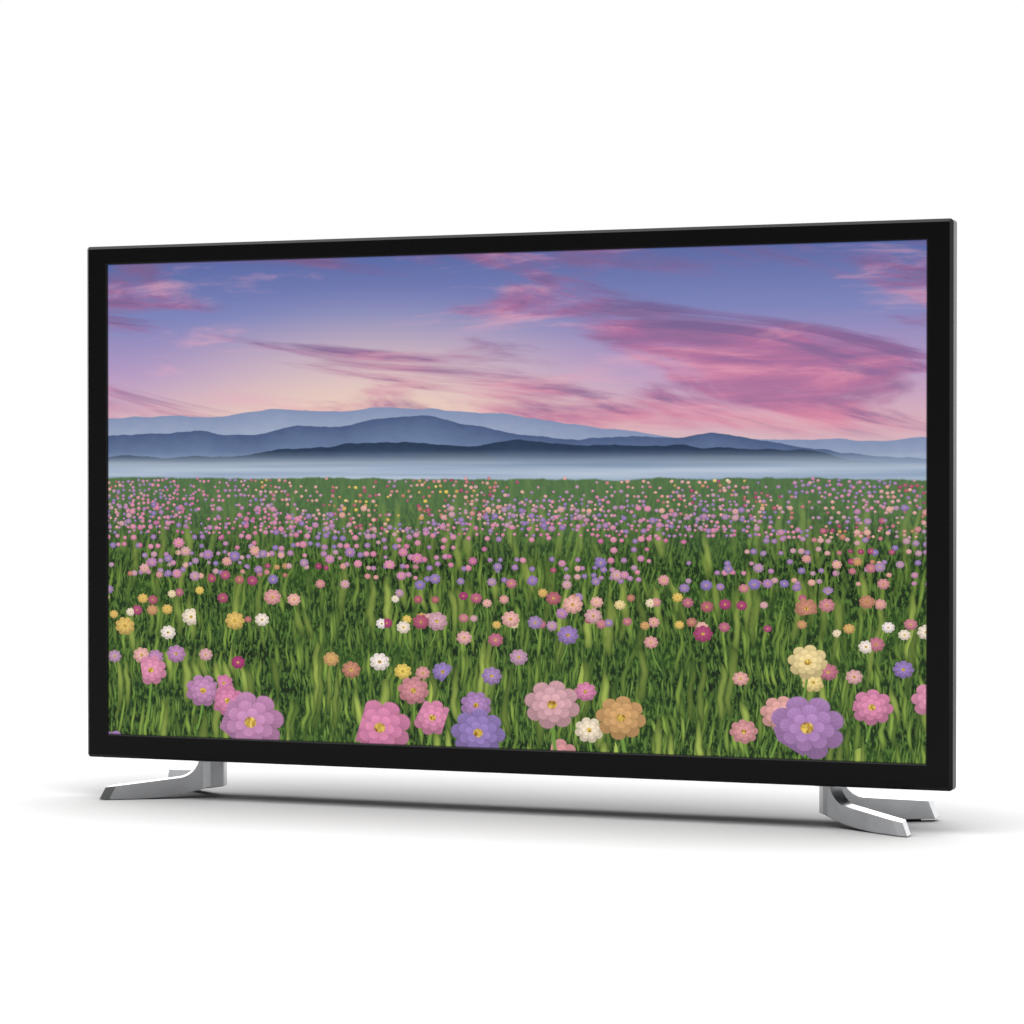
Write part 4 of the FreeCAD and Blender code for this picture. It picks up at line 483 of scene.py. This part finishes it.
def paintBlossoms(look, across, up, behind, layer):
    seed, cells, tall, radius, low, high, share = layer
    start = seed * blossoms["seedUp"]
    spot = look.point(look.scaled(across, cells, seed), look.scaled(up, cells * tall, start))
    cell = look.cells(spot, "2D", 1.0, blossoms["random"])
    centreX, centreY = look.split(cell["Position"])[:2]
    pick, turn, grow = look.split(cell["Color"])
    spotX, spotY = look.split(spot)[:2]
    x = look.minus(spotX, centreX)
    y = look.over(look.minus(spotY, centreY), tall)
    height = look.over(look.minus(centreY, start), cells * tall)
    # drifts: where this layer grows thick, and which colour leads there
    middle = look.over(look.minus(centreX, seed), cells)
    thick = look.ease(*blossoms["thickMask"], drift(look, middle, height, blossoms["thickDrift"]))
    lead = look.ease(*blossoms["leadMask"], drift(look, middle, height, blossoms["leadDrift"]))
    hue = look.blend(lead, blossoms["leadShare"], pick, blossoms["pickShare"])
    crowd = look.times(look.scaled(thick, *blossoms["crowd"]), share)
    within = look.times(look.calc("GREATER_THAN", height, low), look.calc("LESS_THAN", height, high))
    here = look.times(look.calc("LESS_THAN", turn, crowd), within)
    # a thin stem under each head
    bend = look.times(look.times(y, y), look.minus(grow, 0.5))
    beside = look.calc("ABSOLUTE", look.scaled(bend, blossoms["stemBend"], x))
    stem = look.times(look.ease(*blossoms["stemMask"], beside), look.calc("LESS_THAN", y, 0.0))
    behind = look.mix(look.times(here, stem), behind, tone(blossoms["stemColour"]))
    head = paintHead(look, behind, spot, (x, y), (pick, grow, hue), radius)
    return look.mix(here, behind, head)


picture = {
    "glow": 0.96,
    "rim": 0.0016,  # how far in from the window's edge the picture dims, and how bright it still is at the very edge
    "rimGlow": 0.15,
    "rough": 0.38,
    "shine": 0.15,
    "behindLip": 0.00035,
    "gasketEdge": 0.0024,  # how far the gasket's outer edge lies outside the window
    "overlap": 0.0003,
}


def paintPicture():
    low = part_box("lcd_cell")[0]
    windowLow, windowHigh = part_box("panel_gasket")
    edge = picture["gasketEdge"] - picture["overlap"]
    left, right = windowLow.x + edge, windowHigh.x - edge
    foot, head = windowLow.z + edge, windowHigh.z - edge
    depth = low.y - picture["behindLip"]
    mesh = bpy.data.meshes.new("litPicture")
    corners = [(left, depth, foot), (right, depth, foot), (right, depth, head), (left, depth, head)]
    mesh.from_pydata(corners, [], [(0, 1, 2, 3)])
    piece = bpy.data.objects.new("litPicture", mesh)
    scene.collection.objects.link(piece)
    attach(piece, "cabinet")

    look = Finish("litPicture")
    x, unused, z = look.split(look.place)
    tall = head - foot
    across = look.scaled(x, 1 / tall, -left / tall)
    up = look.scaled(z, 1 / tall, -foot / tall)
    colour = paintSky(look, across, up)
    colour = paintHills(look, across, up, colour)
    colour = paintMeadow(look, across, up, colour)
    for layer in blossoms["layers"]:
        colour = paintBlossoms(look, across, up, colour, layer)
    # the picture's glow falls off towards the window's edge
    fromSides = look.minus((right - left) / 2, look.calc("ABSOLUTE", x))
    fromEnds = look.calc("MINIMUM", look.minus(z, foot), look.minus(head, z))
    inset = look.calc("MINIMUM", fromSides, fromEnds)
    power = look.scaled(look.ease(0.0, picture["rim"], inset), picture["glow"] - picture["rimGlow"],
                        picture["rimGlow"])
    look.set(colour=black, rough=picture["rough"], shine=picture["shine"], glow=colour, glowPower=power)
    mesh.materials.append(look.material)


paintPicture()
print("picture painted")


# Finishes of the CAD pieces: colour, second colour, roughness, metal, shine, grain per metre, bump in metres.
plainFinishes = {
    "gasket_foam": ("141414", "1c1c1c", 0.95, 0.0, 0.2, 2600, 0.00012),
    "inner_black": ("161616", "1d1d1e", 0.55, 0.0, 0.35, 1800, 0.00003),
    "film_clear": ("dfe1e4", "eceef0", 0.35, 0.0, 0.4, 400, 0.00001),
    "film_white": ("ededed", "f5f5f5", 0.5, 0.0, 0.4, 500, 0.00001),
    "lamp_yellow": ("d8b440", "ecd06a", 0.5, 0.0, 0.4, 3000, 0.00001),
    "tray_steel": ("a4a7aa", "b6b9bb", 0.42, 1.0, 0.5, 90, 0.00002),
    "chip_black": ("1b1b1c", "232324", 0.6, 0.0, 0.35, 3500, 0.00001),
    "sink_metal": ("b4b6b8", "c6c8ca", 0.38, 1.0, 0.5, 700, 0.00001),
    "socket_steel": ("b0b1b3", "c5c6c8", 0.27, 1.0, 0.5, 900, 0.00001),
    "socket_black": ("141415", "1b1b1c", 0.5, 0.0, 0.35, 2500, 0.00002),
    "capacitor_sleeve": ("1d2b4c", "26365c", 0.32, 0.0, 0.5, 600, 0.00001),
    "winding_tape": ("c59a2e", "d9b04a", 0.4, 0.0, 0.5, 500, 0.00005),
    "lead_black": ("1a1a1a", "222222", 0.5, 0.0, 0.4, 1500, 0.00002),
    "ribbon_white": ("d7d9de", "e6e8ec", 0.4, 0.0, 0.4, 900, 0.00002),
    "flex_amber": ("8a5a1e", "a06c2a", 0.3, 0.0, 0.5, 700, 0.00001),
    "speaker_black": ("171718", "1e1e1f", 0.55, 0.0, 0.35, 2200, 0.00003),
    "driver_grey": ("333333", "3f3f40", 0.8, 0.0, 0.3, 1600, 0.00005),
    "insert_steel": ("9fa0a1", "b5b6b7", 0.36, 1.0, 0.5, 1200, 0.00002),
    "screw_black": ("202021", "2b2b2c", 0.38, 0.6, 0.5, 2500, 0.00001),
    "bracket_steel": ("97999c", "abadb0", 0.4, 1.0, 0.5, 160, 0.00002),
    "pad_rubber": ("1c1c1d", "262627", 0.85, 0.0, 0.3, 1500, 0.00006),
    "stick_black": ("151516", "1c1c1d", 0.45, 0.0, 0.4, 2500, 0.00002),
}
plain = {
    "cloudShare": 0.08,  # the clouding is this much coarser than the grain
    "cloudMask": (0.3, 0.7),
    "swing": 0.14,
    "fineNoise": (3.0, 0.6),  # detail and roughness
}


def plainFinish(name):
    first, second, rough, metal, shine, grain, depth = plainFinishes[name]
    look = Finish(name)
    cloud = look.noise(look.place, grain * plain["cloudShare"])
    fine = look.noise(look.place, grain, *plain["fineNoise"])
    colour = look.mix(look.ease(*plain["cloudMask"], cloud), tone(first), tone(second))
    look.set(colour=colour, rough=look.roughness(rough, (cloud, plain["swing"])), metal=metal, shine=shine,
             normal=look.bump(fine, depth))
    return look.material


bezel = {
    "colour": "0a0a0b", "second": "0e0e0f", "rough": 0.30, "swing": 0.08, "shine": 0.10,
    "cloudNoise": (14.0, 3.0), "fineNoise": (5200, 2.0), "depth": 0.000006,
}


def bezelFinish():
    look = Finish("frame_black")
    cloud = look.noise(look.place, *bezel["cloudNoise"])
    fine = look.noise(look.place, *bezel["fineNoise"])
    colour = look.mix(cloud, tone(bezel["colour"]), tone(bezel["second"]))
    rough = look.roughness(bezel["rough"], (fine, bezel["swing"]))
    look.set(colour=colour, rough=rough, shine=bezel["shine"], normal=look.bump(fine, bezel["depth"]))
    return look.material


cover = {
    "colour": "121213", "second": "19191a", "rough": 0.56, "swing": 0.10, "shine": 0.30,
    "pitNoise": (1500, 4.0, 0.65), "pitMask": (0.35, 0.65), "cloudNoise": (9.0, 4.0), "depth": 0.00005,
}


def coverFinish():
    look = Finish("cover_black")
    pits = look.noise(look.place, *cover["pitNoise"])
    cloud = look.noise(look.place, *cover["cloudNoise"])
    colour = look.mix(look.ease(*cover["pitMask"], pits), tone(cover["colour"]), tone(cover["second"]))
    rough = look.roughness(cover["rough"], (cloud, cover["swing"]))
    look.set(colour=colour, rough=rough, shine=cover["shine"], normal=look.bump(pits, cover["depth"]))
    return look.material


foot = {
    "colour": "969799", "second": "a4a5a7", "cloudNoise": (26.0, 4.0, 0.55), "cloudMask": (0.3, 0.7),
    "rough": 0.30, "cloudSwing": 0.12, "brushSwing": 0.08,
    "castNoise": (1900, 3.0, 0.6), "castDepth": 0.000012,
    "brushScale": (60.0, 60.0, 2600.0), "brushNoise": (1.0, 3.0, 0.6), "brushDepth": 0.000008,
    "edge": 0.0007,  # how far the cast edges are broken
    "edgeSamples": 4,
}


def footFinish():
    look = Finish("foot_silver")
    cast = look.noise(look.place, *foot["castNoise"])
    brushed = look.noise(look.stretched(look.place, foot["brushScale"]), *foot["brushNoise"])
    cloud = look.noise(look.place, *foot["cloudNoise"])
    colour = look.mix(look.ease(*foot["cloudMask"], cloud), tone(foot["colour"]), tone(foot["second"]))
    rough = look.roughness(foot["rough"], (cloud, foot["cloudSwing"]), (brushed, foot["brushSwing"]))
    edges = look.tree.nodes.new("ShaderNodeBevel")
    edges.samples = foot["edgeSamples"]
    edges.inputs["Radius"].default_value = foot["edge"]
    normal = look.bump(brushed, foot["brushDepth"], look.bump(cast, foot["castDepth"], edges.outputs[0]))
    look.set(colour=colour, rough=rough, metal=1.0, normal=normal)
    return look.material


glass = {
    "colour": "08080a", "rough": 0.30, "swing": 0.1, "shine": 0.2,
    "noise": (4200.0, 2.0), "depth": 0.000004,
}


def glassFinish():
    look = Finish("picture_glass")
    fine = look.noise(look.place, *glass["noise"])
    rough = look.roughness(glass["rough"], (fine, glass["swing"]))
    normal = look.bump(fine, glass["depth"])
    look.set(colour=tone(glass["colour"]), rough=rough, shine=glass["shine"], normal=normal)
    return look.material


lens = {"colour": "eef1f5", "rough": 0.11, "swing": 0.06, "through": 0.85, "noise": (900.0, 2.0)}


def lensFinish():
    look = Finish("lens_clear")
    fine = look.noise(look.place, *lens["noise"])
    rough = look.roughness(lens["rough"], (fine, lens["swing"]))
    look.set(colour=tone(lens["colour"]), rough=rough, through=lens["through"])
    return look.material


board = {
    "mask": "0c3a20", "track": "14532e", "pad": "b9bcc0",
    "rowPitch": 2646.0,  # radians per metre
    "rowMask": (0.2, 0.5),
    "laneScale": (60.0, 1.0, 340.0), "laneNoise": (1.0, 2.0), "laneMask": (0.50, 0.56),
    "padScale": 260.0, "padMask": (0.16, 0.12),
    "rough": 0.36, "shine": 0.5, "depth": 0.00003,
}


def boardFinish():
    look = Finish("board_green")
    z = look.split(look.place)[2]
    rows = look.calc("SINE", look.times(z, board["rowPitch"]))
    lanes = look.noise(look.stretched(look.place, board["laneScale"]), *board["laneNoise"])
    track = look.times(look.ease(*board["rowMask"], rows), look.ease(*board["laneMask"], lanes))
    dots = look.cells(look.place, "3D", board["padScale"])
    colour = look.mix(track, tone(board["mask"]), tone(board["track"]))
    colour = look.mix(look.ease(*board["padMask"], dots["Distance"]), colour, tone(board["pad"]))
    normal = look.bump(track, board["depth"])
    look.set(colour=colour, rough=board["rough"], shine=board["shine"], normal=normal)
    return look.material


specialFinishes = {
    "frame_black": bezelFinish,
    "cover_black": coverFinish,
    "foot_silver": footFinish,
    "picture_glass": glassFinish,
    "lens_clear": lensFinish,
    "board_green": boardFinish,
}


def dressPieces():
    made = {}
    for row in frame["record"]["subparts"]:
        name = row["material_slot"]
        if name not in made:
            made[name] = specialFinishes[name]() if name in specialFinishes else plainFinish(name)
        mesh = nodes[row["node"]].data
        mesh.materials.clear()
        mesh.materials.append(made[name])


dressPieces()


# A pale floor with a painted contact shadow near the set, and soft studio light.
studio = {
    "floorSide": 30.0,
    "floorColour": "f6f6f6",
    "floorFade": (0.75, 1.9),  # metres from the middle, where the floor turns plain white
    "floorRough": 0.65,
    "floorSwing": 0.1,
    "floorNoise": (6.0, 3.0),
    "paintedShadowReach": 0.26,  # metres: how far the painted contact shadow reaches
    "paintedShadowStrength": 0.80,
    "paintedShadowSpread": 0.85,
    "paintedShadowSamples": 12,
    "ambient": 0.08,
    "glossFront": 0.03,  # what polished faces see in front of the set, and to its sides and back
    "glossBack": 2.0,
    "glossTurn": (0.70, 0.90),
    "glossLean": (0.5, 0.9),  # the share of the way back that counts, and a base
    "glossFlank": 2.2,  # and straight to either side
    "flankTurn": (-0.16, 0.04),
    "flankAside": (0.75, 0.95),
    "lamps": (
        # name, place, aim, size across and along, power
        ("overhead", (0.05, -0.35, 2.4), (0.0, -0.1, 0.0), (3.6, 3.4), 116.0),
        ("leftSoft", (-2.4, -1.7, 1.1), (0.0, 0.0, 0.2), (0.9, 1.6), 2.5),
        ("rightSoft", (2.5, -0.3, 1.0), (0.3, 0.0, 0.1), (0.9, 1.6), 14.0),
        ("backSoft", (-1.2, 3.0, 1.0), (0.0, 0.0, 0.05), (3.0, 1.2), 34.0),
    ),
}


def layFloor():
    mesh = bpy.data.meshes.new("floor")
    half = studio["floorSide"] / 2
    corners = [(-half, -half, 0), (half, -half, 0), (half, half, 0), (-half, half, 0)]
    mesh.from_pydata(corners, [], [(0, 1, 2, 3)])
    floor = bpy.data.objects.new("floor", mesh)
    scene.collection.objects.link(floor)
    look = Finish("floor_painted_shadow")
    cloud = look.noise(look.place, *studio["floorNoise"])
    x, y = look.split(look.place)[:2]
    away = look.ease(*studio["floorFade"], look.span(x, y))
    # painted shadow: ambient occlusion darkens the floor's colour where the set is near
    occlusionForPaintedShadow = look.tree.nodes.new("ShaderNodeAmbientOcclusion")
    occlusionForPaintedShadow.samples = studio["paintedShadowSamples"]
    occlusionForPaintedShadow.inputs["Distance"].default_value = studio["paintedShadowReach"]
    closed = look.calc("POWER", look.minus(1.0, occlusionForPaintedShadow.outputs["AO"]), studio["paintedShadowSpread"])
    shade = look.scaled(closed, -studio["paintedShadowStrength"], 1.0)
    # the floor's colour carries the painted contact shadow
    pale = look.shaded(tone(studio["floorColour"]), shade)
    rough = look.roughness(studio["floorRough"], (cloud, studio["floorSwing"]))
    look.set(colour=look.mix(away, pale, black), rough=rough, shine=0.0, glow=white, glowPower=away)
    mesh.materials.append(look.material)


def hangLamps():
    for name, place, aim, size, power in studio["lamps"]:
        data = bpy.data.lights.new(name, "AREA")
        data.shape = "RECTANGLE"
        data.size, data.size_y = size
        data.energy = power
        lamp = bpy.data.objects.new(name, data)
        lamp.location = place
        lamp.rotation_euler = (Vector(aim) - Vector(place)).to_track_quat("-Z", "Y").to_euler()
        lamp.visible_camera = False
        scene.collection.objects.link(lamp)


# The camera sees plain white, polished faces see the gloss, and the rest gets the ambient light.
def paintWorld():
    world = scene.world or bpy.data.worlds.new("studio")
    scene.world = world
    world.use_nodes = True
    tree = world.node_tree
    tree.nodes.clear()
    look = Nodes(tree)
    x, y = look.split(tree.nodes.new("ShaderNodeTexCoord").outputs["Generated"])[:2]
    aside = look.calc("ABSOLUTE", x)
    away = look.calc("MAXIMUM", aside, look.scaled(y, *studio["glossLean"]))
    turned = look.ease(*studio["glossTurn"], away, studio["glossFront"], studio["glossBack"])
    flank = look.times(look.ease(*studio["flankTurn"], y, 0.0, studio["glossFlank"]),
                       look.ease(*studio["flankAside"], aside))
    layers = []
    for power in (studio["ambient"], look.plus(turned, flank), 1.0):
        background = tree.nodes.new("ShaderNodeBackground")
        look.fill(background, {"Color": white, "Strength": power})
        layers.append(background.outputs[0])
    ambient, gloss, plainWhite = layers
    rays = tree.nodes.new("ShaderNodeLightPath").outputs
    seen = ambient
    for ray, layer in (("Is Glossy Ray", gloss), ("Is Camera Ray", plainWhite)):
        either = tree.nodes.new("ShaderNodeMixShader")
        for socket, value in zip(either.inputs, (rays[ray], seen, layer)):
            look.feed(socket, value)
        seen = either.outputs[0]
    out = tree.nodes.new("ShaderNodeOutputWorld")
    look.feed(out.inputs["Surface"], seen)


layFloor()
hangLamps()
paintWorld()
scene.view_settings.view_transform = "Standard"
print("studio lit")
